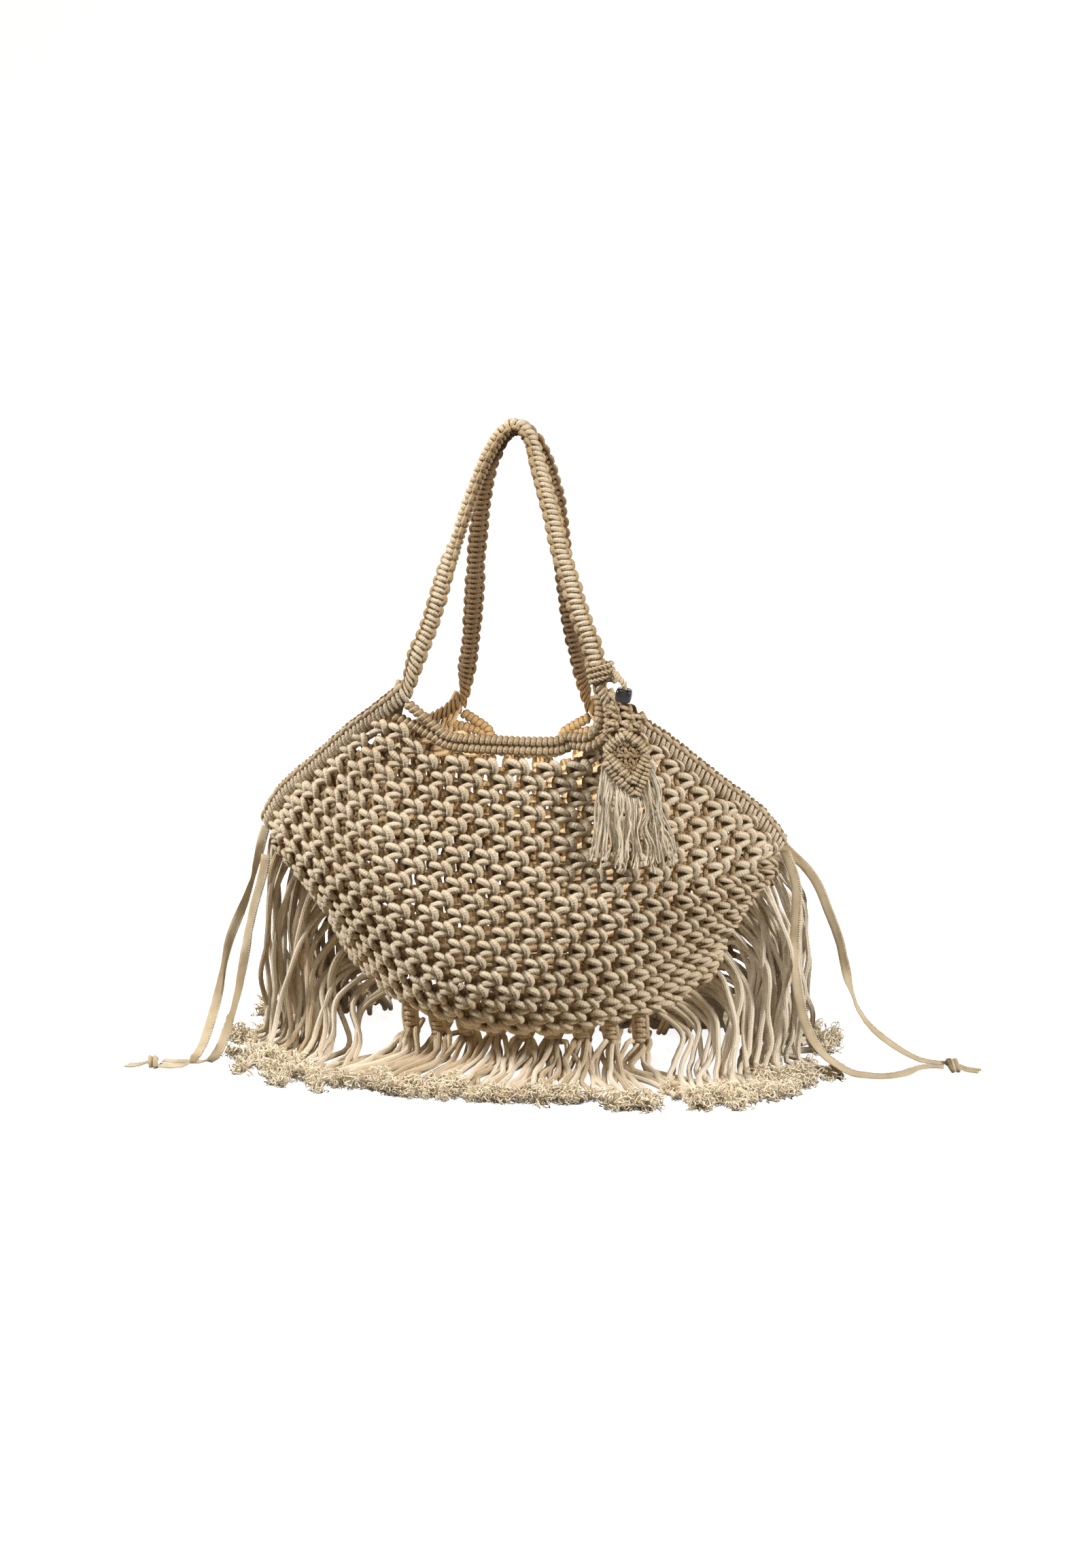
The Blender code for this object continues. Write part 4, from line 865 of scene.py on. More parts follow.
netKnot = {
    "pitchAcross": 24.6, "pitchUp": 24.4, "turnSpread": 5.0, "sizeSpread": 0.05, "lowest": 57.0,
    "swell": {"front": 1.0, "back": 1.14}, "widest": 1.22, "underRoll": -2.0, "besideRoll": 1.0,
    "edgeGap": 10.0, "edgeInset": 1.5, "scatter": 0.4, "places": {"front": 7, "back": 8},
    # the share of painted light that the inner side of each net keeps
    "seed": {"front": 11, "back": 12}, "innerLight": {"front": 0.35, "back": 0.8},
    "chartLow": (-252, -8), "chartHigh": (252, 362), "chartCounts": (169, 124),
    "cords": [
        {"route": [(-9.4, 2.8, -0.4), (-7.4, 4.4, 2.6), (-3.2, 4.0, 5.0), (1.0, 1.9, 4.5), (4.0, -0.2, 1.4)],
         "radius": 2.85, "sides": 7, "rings": 8, "taper": 0.34},
        {"route": [(1.6, 4.6, 1.4), (3.6, 5.8, 3.6), (6.2, 4.2, 5.3), (7.4, 0.6, 5.0), (6.8, -2.8, 3.2),
                   (5.6, -4.8, 0.4)],
         "radius": 2.75, "sides": 7, "rings": 8, "taper": 0.26},
        {"route": [(5.0, -2.2, 1.2), (1.6, -2.5, 4.0), (-2.6, -3.6, 4.4), (-6.8, -5.4, 2.4),
                   (-9.4, -6.8, -0.4)],
         "radius": 2.7, "sides": 7, "rings": 8, "taper": 0.32},
        {"route": [(-7.8, 4.6, -0.4), (-9.2, 1.4, 1.0), (-8.8, -2.4, 0.8), (-7.0, -5.2, -0.4)],
         "radius": 2.4, "sides": 5, "rings": 5},
        {"route": [(1.4, 8.6, -0.4), (1.6, 2.0, -0.2), (2.0, -3.4, 0.2), (6.0, -7.0, 1.2),
                   (12.4, -10.4, 0.0)],
         "radius": 2.4, "sides": 5, "rings": 6},
        {"route": [(-2.4, 8.6, -0.4), (-2.4, 2.0, -0.2), (-2.8, -3.4, 0.2), (-6.4, -7.2, 1.2),
                   (-12.6, -10.0, 0.0)],
         "radius": 2.4, "sides": 5, "rings": 6},
        {"route": [(-6.8, 3.8, -1.0), (-3.0, 3.6, -3.4), (1.5, 2.0, -3.4), (5.6, 1.2, -0.8)],
         "radius": 2.6, "sides": 5, "rings": 5},
        {"route": [(-6.6, -1.0, -1.0), (-2.5, -2.2, -3.4), (2.0, -3.2, -3.4), (5.2, -3.6, -0.8)],
         "radius": 2.6, "sides": 5, "rings": 5},
    ],
}


def netSurface(panel, across, height):
    # the hung net: its lowest rows are drawn up a little, and the back is laid out mirrored to face outwards
    place = hang(panel, np.asarray(across) * -facing[panel], np.maximum(height, 0.0))
    place[..., 2] += cloth["seamRise"] * np.exp(-(np.asarray(height) / 55.0) ** 2)
    return place


def clothHeight(panel, across, level):
    # rows of knots run more level towards the slopes than the cloth's own heights do
    across, level = np.broadcast_arrays(np.asarray(across, float), np.asarray(level, float))
    rule = cloth["level"]
    ease = rule["share"] * np.clip((level - rule["from"]) / rule["over"], 0.0, 1.0)
    start = np.minimum(level, cloth["height"])
    middle = netSurface(panel, np.zeros_like(across), start)[..., 2]
    wanted = middle + (1.0 - ease) * (netSurface(panel, across, start)[..., 2] - middle) + level - start
    low, high = start - 75.0, start + 12.0
    for halving in range(12):
        height = (low + high) / 2
        under = netSurface(panel, across, height)[..., 2] < wanted
        low, high = np.where(under, height, low), np.where(under, high, height)
    return height


def rowSurface(panel, across, level):
    return netSurface(panel, across, clothHeight(panel, across, level))


def netPlaces(panel):
    # rows of knots at even distances up and down from the widest row, every other one half a pitch over
    rng = np.random.default_rng(netKnot["places"][panel])
    spots = np.linspace(-240, 240, 241)
    levels = np.linspace(0, 356, 90)
    grid = rowSurface(panel, *np.meshgrid(spots, levels, indexing="ij"))
    climb = np.linalg.norm(np.diff(grid, axis=1), axis=2)
    climb = np.concatenate([np.zeros((len(spots), 1)), np.cumsum(climb, axis=1)], axis=1)
    climb -= climb[:, [int(cloth["cornerHeight"] / 4)]]
    top = mouthLine(panel)
    places = []
    for row in range(-18, 20):
        level = np.array([np.interp(row * netKnot["pitchUp"] / 2 + 3.0, line, levels) for line in climb])
        line = rowSurface(panel, spots, level)
        height = clothHeight(panel, spots, level)
        steps = runLengths(line)
        inside = abs(spots) <= flatHalf(height) - 2.0
        inside &= (height > netKnot["lowest"]) & (height < cloth["height"] - 4.0)
        if not inside.any():
            continue
        wanted = steps[120] + netKnot["pitchAcross"] * (np.arange(-12, 13) + 0.5 * (row % 2))
        kept = [step for step in wanted if inside[int(np.argmin(abs(steps - step)))]]
        for edge, sign in ((steps[inside][0], 1.0), (steps[inside][-1], -1.0)):
            gap = min((abs(step - edge) for step in kept), default=99.0)
            if gap > netKnot["edgeGap"]:
                kept.append(edge + sign * netKnot["edgeInset"])
        for step in kept:
            across, up = float(np.interp(step, steps, spots)), float(np.interp(step, steps, level))
            place = rowSurface(panel, [across - 2, across + 2, across, across], [up, up, up - 2, up + 2])
            wide = 4.0 / np.linalg.norm(place[1] - place[0])
            tall = 4.0 / np.linalg.norm(place[3] - place[2])
            spot = (place[0] + place[1]) / 2
            roof = np.interp(spot[0], top[:, 0], top[:, 1], left=999.0, right=999.0)
            margin = netKnot["underRoll"] if -56 < spot[0] < 60 else netKnot["besideRoll"]
            if spot[2] < roof - margin:
                swell = netKnot["swell"][panel]
                wide, tall = min(wide, netKnot["widest"]), min(tall, netKnot["widest"])
                across += rng.normal(0, netKnot["scatter"])
                up += rng.normal(0, netKnot["scatter"])
                places.append((across, up, 0.0, wide * swell, tall * swell))
    return places


def makeNet(panel):
    low, high, counts = netKnot["chartLow"], netKnot["chartHigh"], netKnot["chartCounts"]
    lines = [np.linspace(*ends) for ends in zip(low, high, counts)]
    guide = Guide(panel + "Cloth", rowSurface(panel, *np.meshgrid(*lines, indexing="ij")), low, high)
    knot = makeKnot(panel + "NetKnot", netKnot["cords"])
    piece = guide.lay(panel + "_net_knots", knot, netPlaces(panel), cotton, netKnot["turnSpread"],
                      netKnot["sizeSpread"], netKnot["seed"][panel], netKnot["innerLight"][panel])
    guide.clear()
    restOnFloor(piece)
    finishPiece(piece, [panel + "_net"])
    print(panel, "net", len(piece.data.polygons), "faces")


# bands and handles: flat knotted cords, laid on ribbons

def joinPieces(pieces, name):
    with bpy.context.temp_override(active_object=pieces[0], selected_editable_objects=pieces):
        bpy.ops.object.join()
    pieces[0].name = name
    return pieces[0]


def ribbonGuide(name, centre, across, outward, half):
    # also says whether the ribbon's width had to be turned round for knots to face outwards
    along = np.gradient(centre, axis=0)
    turned = float(np.mean(np.sum(np.cross(across, along) * outward, axis=1))) < 0
    if turned:
        across = -across
    steps = runLengths(centre)
    grid = np.stack([centre - across * half, centre, centre + across * half], axis=0)
    guide = Guide(name, grid, (-half, 0), (half, steps[-1]), np.stack([outward] * 3, axis=0))
    return guide, steps[-1], turned


def evenly(lines, step):
    # the same even distances along the first line, for all of them
    lengths = runLengths(lines[0])
    wanted = np.linspace(0, lengths[-1], int(lengths[-1] / step) + 2)
    return [placesAlong(wanted, lengths, line) for line in lines]


def coreCords(pitch, spread, radius):
    reach = pitch * 0.55
    return [{"route": [(side * spread, -reach, 0), (side * spread, 0, 0), (side * spread, reach, 0)],
             "radius": radius, "sides": 6, "rings": 2} for side in (-1, 1)]


def faceBars(bars):
    # the same bars on the other face as well
    return bars + [dict(bar, route=[(-x, y, -z) for x, y, z in bar["route"]]) for bar in bars]


handleKnot = {
    "pitch": 9.1, "half": 12.0,
    "bars": [
        {"route": [(-4.7, 3.5, 0.4), (-3.2, 3.5, 2.8), (0.0, 2.7, 4.0), (3.0, 1.9, 3.1), (4.6, 1.5, 0.6)],
         "radius": 2.1, "sides": 8, "rings": 7, "taper": 0.3},
        {"route": [(-4.6, -1.2, 0.6), (-3.0, -1.5, 2.9), (0.0, -2.0, 3.9), (3.2, -2.5, 2.9),
                   (4.7, -2.9, 0.4)],
         "radius": 2.05, "sides": 8, "rings": 7, "taper": 0.3}],
    "sides": [
        {"route": [(3.2, 4.0, 0.4), (5.3, 2.9, 1.1), (6.2, 0.4, 1.4), (5.5, -2.0, 0.9), (3.4, -3.8, 0.0)],
         "radius": 2.3, "sides": 7, "rings": 7, "taper": 0.25},
        {"route": [(-3.4, 0.2, 0.2), (-5.4, -1.2, 0.9), (-6.4, -3.9, 1.2), (-5.5, -6.4, 0.9),
                   (-3.4, -8.0, 0.0)],
         "radius": 2.35, "sides": 7, "rings": 7, "taper": 0.25}],
}
bandKnot = {
    "pitch": 9.5, "half": 13.0,
    "bars": [
        {"route": [(-7.8, 2.7, -0.6), (-6.6, 2.8, 2.4), (-2.2, 2.7, 4.4), (2.2, 2.3, 3.6), (4.4, 2.0, 0.8)],
         "radius": 2.1, "sides": 8, "rings": 7, "taper": 0.28},
        {"route": [(-8.0, -1.9, -0.6), (-6.8, -1.9, 2.3), (-2.4, -1.9, 4.2), (2.0, -2.1, 3.4),
                   (4.2, -2.3, 0.8)],
         "radius": 2.05, "sides": 8, "rings": 7, "taper": 0.28}],
    "sides": [
        {"route": [(2.6, -4.4, 0.8), (4.6, -3.2, 2.3), (5.8, -0.2, 3.0), (5.4, 2.8, 2.4), (3.2, 4.6, 0.8)],
         "radius": 2.3, "sides": 8, "rings": 7, "taper": 0.2},
        {"route": [(2.8, 5.0, -0.6), (4.6, 3.2, -1.8), (5.4, 0.0, -2.3), (5.0, -3.2, -1.8),
                   (3.2, -5.0, -0.6)],
         "radius": 2.1, "sides": 6, "rings": 5}],
}


def layBand(name, pattern, guide, start, finish, flip, nodes, seed):
    cords = faceBars(pattern["bars"]) + pattern["sides"] + coreCords(pattern["pitch"], 2.2, 2.1)
    if flip:
        cords = [dict(cord, route=[(-x, y, z) for x, y, z in cord["route"]]) for cord in cords]
    count = int(round((finish - start) / pattern["pitch"]))
    pitch = (finish - start) / count
    knot = makeKnot(name + "Knot", cords)
    places = [(0.0, start + pitch * (index + 0.5), 0.0, 1.0, 1.0) for index in range(count)]
    # painted shade: the back bands and handle keep none of the painted light on their inner side, the front ones
    # half of it
    piece = guide.lay(name, knot, places, cotton, 4.0, 0.05, seed, 0.0 if "back" in name else 0.5)
    guide.clear()
    if nodes:
        finishPiece(piece, nodes)
    return piece


def bandLine(panel, side, shares):
    middle = cloth["gap"] + 6.5
    places = np.array([slopePlace(share, middle, side) for share in shares])
    inner = np.array([slopePlace(share, cloth["gap"], side) for share in shares])
    outer = np.array([slopePlace(share, cloth["gap"] + 13.0, side) for share in shares])
    centre = hang(panel, places[:, 0], places[:, 1])
    outward = hangNormal(panel, places[:, 0], places[:, 1])
    across = unit(hang(panel, outer[:, 0], outer[:, 1]) - hang(panel, inner[:, 0], inner[:, 1]))
    return centre, across, outward


def makeBands(panel):
    for index, (side, label) in enumerate(((-1.0, "left"), (1.0, "right"))):
        centre, across, outward = evenly(bandLine(panel, side, np.linspace(-0.05, 1.06, 60)), 3.0)
        guide, length, turned = ribbonGuide(panel + label + "Ribbon", centre, across, unit(outward),
                                            bandKnot["half"])
        start = length * 0.05 / 1.11
        finish = length * 1.05 / 1.11
        layBand(f"{panel}_{label}_band_knots", bandKnot, guide, start, finish, turned,
                [f"{panel}_{label}_edge_band"], 21 + index)


handles = {
    "front": [(-80.0, -67.0, 345.0), (-72.0, -60.0, 366.0), (-65.5, -53.0, 390.0), (-59.0, -46.0, 414.0),
              (-53.0, -40.0, 434.0), (-48.0, -34.0, 453.0), (-41.0, -25.0, 477.0), (-33.0, -16.0, 500.0),
              (-23.5, -8.0, 518.0), (-12.0, -5.0, 525.5), (-1.5, -7.0, 515.0), (5.0, -14.0, 497.0),
              (11.0, -22.0, 480.0), (17.0, -30.0, 464.0), (22.5, -36.0, 449.0), (29.0, -43.0, 427.0),
              (37.0, -49.0, 408.0), (44.0, -55.0, 388.0), (51.5, -60.0, 371.0), (59.0, -65.0, 354.0)],
    "back": [(-67.0, 57.0, 304.0), (-61.5, 50.0, 332.0), (-56.0, 40.0, 374.0), (-52.0, 31.0, 412.0),
             (-43.5, 20.0, 468.0), (-34.0, 12.0, 497.0), (-23.5, 6.0, 515.0), (-11.0, 5.0, 521.0),
             (0.5, 6.5, 511.0), (6.0, 11.0, 498.0), (10.0, 16.0, 483.0), (13.0, 20.0, 466.0),
             (15.5, 26.0, 445.0), (18.0, 34.0, 410.0), (20.5, 42.0, 376.0), (24.0, 49.0, 345.0),
             (28.5, 54.0, 322.0)],
}


handleEasing = 12  # points over which a strap's end turns to lie as the band does
handleTwist = {  # degrees that the strap is turned by, along its length
    "front": [(0.0, 0), (0.16, 6), (0.27, 58), (0.5, 66), (0.6, 48), (0.75, 30), (0.9, 6), (1.0, 0)],
    "back": [(0.0, 0), (0.36, 4), (0.46, 40), (0.55, 40), (0.65, 12), (1.0, 0)],
}


def handleLine(panel):
    # from band to band, the first and last stretch lying as the bands do
    ends = [[values[0] for values in bandLine(panel, side, [1.0])] for side in (-1.0, 1.0)]
    route = smoothRoute([ends[0][0], *handles[panel], ends[1][0]], 3.0)
    route[:, 2] -= 6.0 * np.clip((route[:, 2] - 440.0) / 85.0, 0, 1) ** 2
    along = unit(np.gradient(route, axis=0))
    across = unit(np.cross(along, (0.0, -1.0, 0.0)))
    outward = unit(np.cross(across, along)) * -facing[panel]
    twist = np.array(handleTwist[panel], float)
    turn = np.radians(np.interp(np.linspace(0, 1, len(route)), twist[:, 0], twist[:, 1]))[:, None]
    across, outward = (across * np.cos(turn) + outward * np.sin(turn),
                       outward * np.cos(turn) - across * np.sin(turn))
    for step in range(handleEasing):
        share = 1 - step / handleEasing
        for place, end in ((step, ends[0]), (-1 - step, ends[1])):
            across[place] = across[place] * (1 - share) - end[1] * share
            outward[place] = outward[place] * (1 - share) + end[2] * share
    return route, unit(across), unit(outward)


handleFeet = {"offsets": (-4.5, 0.0, 4.5), "rise": 12.0, "drop": 12.0, "radius": 2.4, "sides": 7}


def makeHandle(panel):
    route, across, outward = handleLine(panel)
    first = route[0] - unit(route[1] - route[0]) * 6.0
    last = route[-1] + unit(route[-1] - route[-2]) * 6.0
    route = np.vstack([first, route, last])
    across = np.vstack([across[0], across, across[-1]])
    outward = np.vstack([outward[0], outward, outward[-1]])
    route, across, outward = evenly([route, across, outward], 3.0)
    guide, length, turned = ribbonGuide(panel + "HandleRibbon", route, unit(across), unit(outward),
                                        handleKnot["half"])
    knots = layBand(panel + "_handle_knots", handleKnot, guide, 3.0, length - 3.0, turned, None, 31)
    bundle = CordBundle()
    for side, foot in ((-1.0, route[0]), (1.0, route[-1])):
        corner = rollLine(panel, "lower")[2 if side < 0 else -3]
        away = np.array((side, 0.0, 0.0))
        for offset in handleFeet["offsets"]:
            top = foot + away * offset + np.array((0.0, 0.0, handleFeet["rise"]))
            end = corner + away * (offset * 0.8 + 6.0)
            end += np.array((0.0, facing[panel] * -2.5, -handleFeet["drop"]))
            route = smoothRoute([top, (top + end) / 2 + away * 1.5, end], 4.0)
            bundle.add(route, handleFeet["radius"], handleFeet["sides"], shade=0.1)
    feet = bundle.build(panel + "HandleFeet", cotton)
    piece = joinPieces([knots, feet], panel + "_handle_knots")
    finishPiece(piece, [panel + "_handle"])


# two hitched rolls along each mouth

rolls = {
    "rises": {"lower": 3.7, "upper": 10.7}, "pitch": 4.5, "cord": 1.75, "width": 1.38, "coil": 2.6,
    "core": 2.3,
    "reach": {"front": (-66.0, 64.0), "back": (-72.0, 72.0)},
    "endShare": {"lower": 0.89, "upper": 0.97}, "endInset": {"lower": 9.5, "upper": 8.5},
    "rightRise": {  # the front rolls climb steeply at their right ends
        "upper": [(57.5, -80.0, 285.5), (65.0, -77.5, 293.0), (66.5, -73.5, 306.0), (64.5, -70.0, 319.0)],
        "lower": [(60.5, -82.0, 278.5), (71.0, -80.0, 285.5), (74.0, -76.5, 298.0), (72.5, -73.0, 310.0)]},
}


def rollEnd(panel, side, label):
    # where a roll meets the inner side of the band, at the handle's foot
    centre, across, outward = (values[0] for values in bandLine(panel, side, [rolls["endShare"][label]]))
    return centre - across * rolls["endInset"][label] + outward * 1.5


def rollLine(panel, label):
    across = np.linspace(*rolls["reach"][panel], 25)
    edge = hang(panel, across, cloth["height"])
    normal = hangNormal(panel, across, cloth["height"])
    upward = np.cross(normal, unit(np.gradient(edge, axis=0))) * -facing[panel]
    middle = edge + upward * rolls["rises"][label]
    right = rolls["rightRise"][label] if panel == "front" else [rollEnd(panel, 1.0, label)]
    return smoothRoute([rollEnd(panel, -1.0, label), *middle, *right], 2.0)


def mouthLine(panel):
    # the mouth's lower line as seen from the front: x and z
    line = rollLine(panel, "lower")
    return line[np.argsort(line[:, 0])][:, [0, 2]]


def makeRolls(panel):
    for index, label in enumerate(rolls["rises"]):
        centre = rollLine(panel, label)
        along = unit(np.gradient(centre, axis=0))
        normal = np.tile((0.0, facing[panel], 0.0), (len(centre), 1))
        normal = unit(normal - along * np.sum(normal * along, axis=1, keepdims=True))
        upward = unit(np.cross(normal, along)) * -facing[panel]
        guide, length, turned = ribbonGuide(f"{panel}{label}RollRibbon", centre, upward, normal, 9.0)
        turns = np.radians(np.linspace(0, 360, 12))
        slant = -0.9 if turned else 0.9
        coil = rolls["coil"]
        wrap = [(coil * 1.08 * math.cos(turn), slant * math.cos(turn), coil * math.sin(turn)) for turn in turns]
        knot = makeKnot(f"{panel}{label}Hitch", [
            {"route": wrap, "radius": rolls["cord"], "flat": rolls["width"], "hint": (0, 1, 0), "sides": 7,
             "rings": 12},
            {"route": [(0, -2.6, 0), (0, 2.6, 0)], "radius": rolls["core"], "sides": 6, "rings": 2}])
        count = int(length / rolls["pitch"])
        rises = [1.0 + (length - 2.0) * (place + 0.5) / count for place in range(count)]
        places = [(0.0, rise, 0.0, 1.0, 1.0) for rise in rises]
        piece = guide.lay(f"{panel}_{label}_roll_hitches", knot, places, cotton, 5.0, 0.05, 51 + index)
        guide.clear()
        finishPiece(piece, [f"{panel}_{label}_roll"])


for panel in ("front", "back"):
    makeNet(panel)
    makeBands(panel)
    makeRolls(panel)
    makeHandle(panel)
print("panels, bands, rolls and handles knotted")


# fringe: cords out of the seam, over the floor, frayed at their ends

fringe = {
    "radius": 2.3, "sides": 7, "step": 6.0, "groups": {-1: 17, 1: 20}, "groupCords": 4,
    "stackCords": {True: 10, False: 8},
    "reachX": 246.0, "frontReach": 140.0, "backReach": 139.0, "roundness": 2.5, "floor": 2.5,
    "bristles": 32, "bristleLength": 11.0, "wave": 3.6,
    "bulge": {-1: 5.0, 1: 15.0}, "archRise": {-1: 0.95, 1: 0.7},
}
fringeRng = np.random.default_rng(2024)
seamRows = 40


def seamLine():
    levels = np.linspace(cloth["cornerHeight"], 0.0, seamRows)
    left = netSurface("front", -flatHalf(levels), levels)
    right = netSurface("front", flatHalf(levels), levels)[::-1]
    bottom = np.linspace(left[-1], right[0], 24)[1:-1]
    line = np.vstack([left, bottom, right])
    line[:, 1] = 0.0
    return line


seam = seamLine()
seamLengths = runLengths(seam)
flank = float(seamLengths[seamRows - 1])  # the seam's length from a side corner down to its bottom


def seamAt(distance):
    return placesAlong(distance, seamLengths, seam)


def seamAway(distance):
    along = unit(seamAt(distance + 8.0) - seamAt(distance - 8.0))
    return np.array((along[2], 0.0, -along[0]))


def edgeOnFloor(share, front):
    # share runs from the left end of the fringe to the right one, round the front or the back
    turn = math.pi * (1 - share)
    power = 2.0 / fringe["roundness"]
    x = fringe["reachX"] * math.copysign(abs(math.cos(turn)) ** power, math.cos(turn))
    reach = fringe["frontReach"] if front else fringe["backReach"]
    y = reach * abs(math.sin(turn)) ** power * (-1 if front else 1)
    return np.array((x, y, 0.0))


def shareAtX(x):
    turned = math.copysign(min(abs(x) / fringe["reachX"], 1.0) ** (fringe["roundness"] / 2), x)
    return 1 - math.acos(turned) / math.pi


def waved(route, level, amount):
    # loose waves along a cord, fading towards its start, and nothing below the floor
    rng = fringeRng
    lengths = runLengths(route)
    envelope = np.sin(np.clip(lengths / max(lengths[-1], 1.0), 0, 1) * math.pi * 0.85) * amount
    for waveLength in (rng.uniform(95, 150), rng.uniform(45, 70)):
        swing = np.sin(lengths / waveLength * 2 * math.pi + rng.uniform(0, 2 * math.pi)) * envelope
        heading = rng.uniform(0, 2 * math.pi)
        route = route + np.outer(swing, (math.cos(heading), math.sin(heading), 0.0))
        envelope = envelope * 0.45
    route[:, 2] = np.maximum(route[:, 2], level)
    return route


def sideCord(side, share, front, groupShift):
    # share runs from the corner down to the bottom of the seam
    rng = fringeRng
    distance = 3.0 + (flank - 8.0) * share
    if side > 0:
        distance = seamLengths[-1] - distance
    away = seamAway(distance)
    sign = -1.0 if front else 1.0
    start = seamAt(distance) + np.array((0, sign * rng.uniform(1.5, 5.0), 0)) - away * 4.0
    around = 0.02 + 0.30 * share ** 0.85 + rng.normal(0, 0.012)
    end = edgeOnFloor(around if side < 0 else 1 - around, front)
    end = end * (1.02 - abs(rng.normal(0, 0.06)))
    end = end + np.array((rng.normal(0, 5), rng.normal(0, 6), 0)) + groupShift
    level = fringe["floor"] + abs(rng.normal(0, 2.4))
    end[2] = level
    arch = 6.0 + 24.0 * share * rng.uniform(0.35, 1.15)
    shoulder = start + away * arch + np.array((0, sign * 3.0, arch * fringe["archRise"][side]))
    lean = (end - shoulder) * (1, 1, 0)
    fall = 0.34 + 0.22 * share + rng.normal(0, 0.05)
    landing = shoulder + lean * fall + groupShift * 0.6
    landing = landing + np.array((rng.normal(0, 3.0), rng.normal(0, 4.0), 0))
    landing[2] = level
    drop = shoulder[2] - level
    upper = shoulder * 0.72 + landing * 0.28
    bulge = fringe["bulge"][side] * rng.uniform(0.5, 1.2) * (1 - 0.5 * share)
    upper += np.array((side * (2.0 + 8.0 * share + bulge), sign * 4.0, 0)) + groupShift * 0.3
    lower = shoulder * 0.25 + landing * 0.75 + np.array((side * bulge * 0.8, 0, 0))
    near = landing * 0.8 + end * 0.2
    near[2] = level
    if drop < 26:
        route = [start, shoulder, landing, near, end]
    else:
        route = [start, shoulder, upper, lower, landing + np.array((0, 0, min(9.0, drop * 0.1))), near, end]
    amount = fringe["wave"] * (0.6 + 0.8 * drop / 180.0)
    return waved(smoothRoute(route, fringe["step"]), level * 0.98, amount)


def seamCord(x, offset, front):
    # from the foot of a stack, out in a loop, then over the floor
    rng = fringeRng
    sign = -1.0 if front else 1.0
    start = np.array((x + offset * 0.8, sign * rng.uniform(31.0, 38.0), rng.uniform(17.0, 22.0)))
    endX = (x + offset * 2.0) * 1.2 - (14.0 if front else 0.0) + rng.normal(0, 6.0)
    endX += max(x - 40.0, 0.0) * 1.0 - max(-60.0 - x, 0.0) * 0.6
    end = edgeOnFloor(shareAtX(endX), front)
    end[0] = endX
    end[1] *= 1.0 + 0.035 * math.sin(x / 9.0) - abs(rng.normal(0, 0.07))
    level = fringe["floor"] + abs(rng.normal(0, 2.4))
    end[2] = level
    out = rng.uniform(7, 15)
    first = start + np.array((offset * 0.5 + rng.normal(0, 2.5), sign * out, rng.uniform(-7.0, 3.0)))
    second = start + np.array((offset * 1.2 + rng.normal(-1, 2.5), sign * (out + rng.uniform(8, 14)), 0.0))
    second[2] = level + rng.uniform(0.0, 4.0)
    third = second + (end - second) * 0.45 + np.array((rng.normal(0, 3.5), 0, 0))
    third[2] = level
    return waved(smoothRoute([start, first, second, third, end], fringe["step"]), level * 0.98, 4.2)


def makeTuftKnot(name, seed):
    # a burst of curled bristles, facing +Y
    rng = np.random.default_rng(seed)
    bundle = CordBundle()
    for bristle in range(fringe["bristles"]):
        spread = rng.uniform(0, 1) ** 0.6 * 1.45
        turn = rng.uniform(0, 2 * math.pi)
        out = math.sin(spread)
        heading = np.array((out * math.cos(turn), math.cos(spread), out * math.sin(turn)))
        curl = unit(rng.normal(0, 1, 3))
        length = fringe["bristleLength"] * rng.uniform(0.55, 1.1)
        base = np.array((rng.normal(0, 1.4), rng.uniform(-4.0, 0.5), rng.normal(0, 1.4)))
        twist = unit(np.cross(curl, heading))
        reach = heading * length
        route = [base, base + reach * 0.4 + curl * 2.0, base + reach * 0.75 + twist * 2.0,
                 base + reach * 0.85 - curl * 2.2, base + reach * 0.6 - twist * 2.6]
        bundle.add(smoothRoute(route, count=8), np.linspace(0.72, 0.4, 8), 3, shade=rng.uniform(0, 1))
    return bundle.build(name, None)


def tuftTree():
    tree, bench, given = newTree("tuftsAtEnds", [
        ("Tuft", "Object"), ("Material", "Material"), ("Size Spread", "Float"), ("Seed", "Int")])
    tuft, heading = bench.instanced(given("Tuft")), bench.stored("heading")
    turned = bench.take("FunctionNodeAlignRotationToVector", {"axis": "Y"}, {"Vector": heading})
    roll = bench.chance(0.0, 2 * math.pi, given("Seed"))
    rolled = bench.take("FunctionNodeAxisAngleToRotation", {}, {"Axis": (0.0, 1.0, 0.0), "Angle": roll})
    both = bench.take("FunctionNodeRotateRotation", {"rotation_space": "LOCAL"}, {
        "Rotation": turned, "Rotate By": rolled})
    size = bench.chance(1.0 - given("Size Spread"), 1.0 + given("Size Spread"), given("Seed") + 1.0)
    scale = bench.take("ShaderNodeCombineXYZ", {}, {"X": size, "Y": size, "Z": size})
    laid = bench.take("GeometryNodeInstanceOnPoints", {}, {
        "Points": given("Geometry"), "Instance": tuft, "Rotation": both, "Scale": scale})
    real = bench.take("GeometryNodeRealizeInstances", {}, {"Geometry": laid})
    closeTree(bench, real, given("Material"))
    return tree


trees["tufts"] = tuftTree()


def frayEnds(name, routes, seed):
    ends = np.array([route[-1] for route in routes])
    headings = np.array([unit(route[-1] - route[-3]) for route in routes])
    places = linkMesh(name + "Places", ends, [], None, {"heading": headings})
    tuft = makeTuftKnot(name + "Tuft", seed)
    setInputs(places, trees["tufts"], {"Tuft": tuft, "Material": frayed, "Size Spread": 0.4, "Seed": seed})
    tufts = plainMesh(places, name, tuft)
    restOnFloor(tufts, 0.3)
    return tufts


stack = {"pitch": 24.0, "left": -96.0, "count": 9, "rise": 4.7, "radius": 2.3}


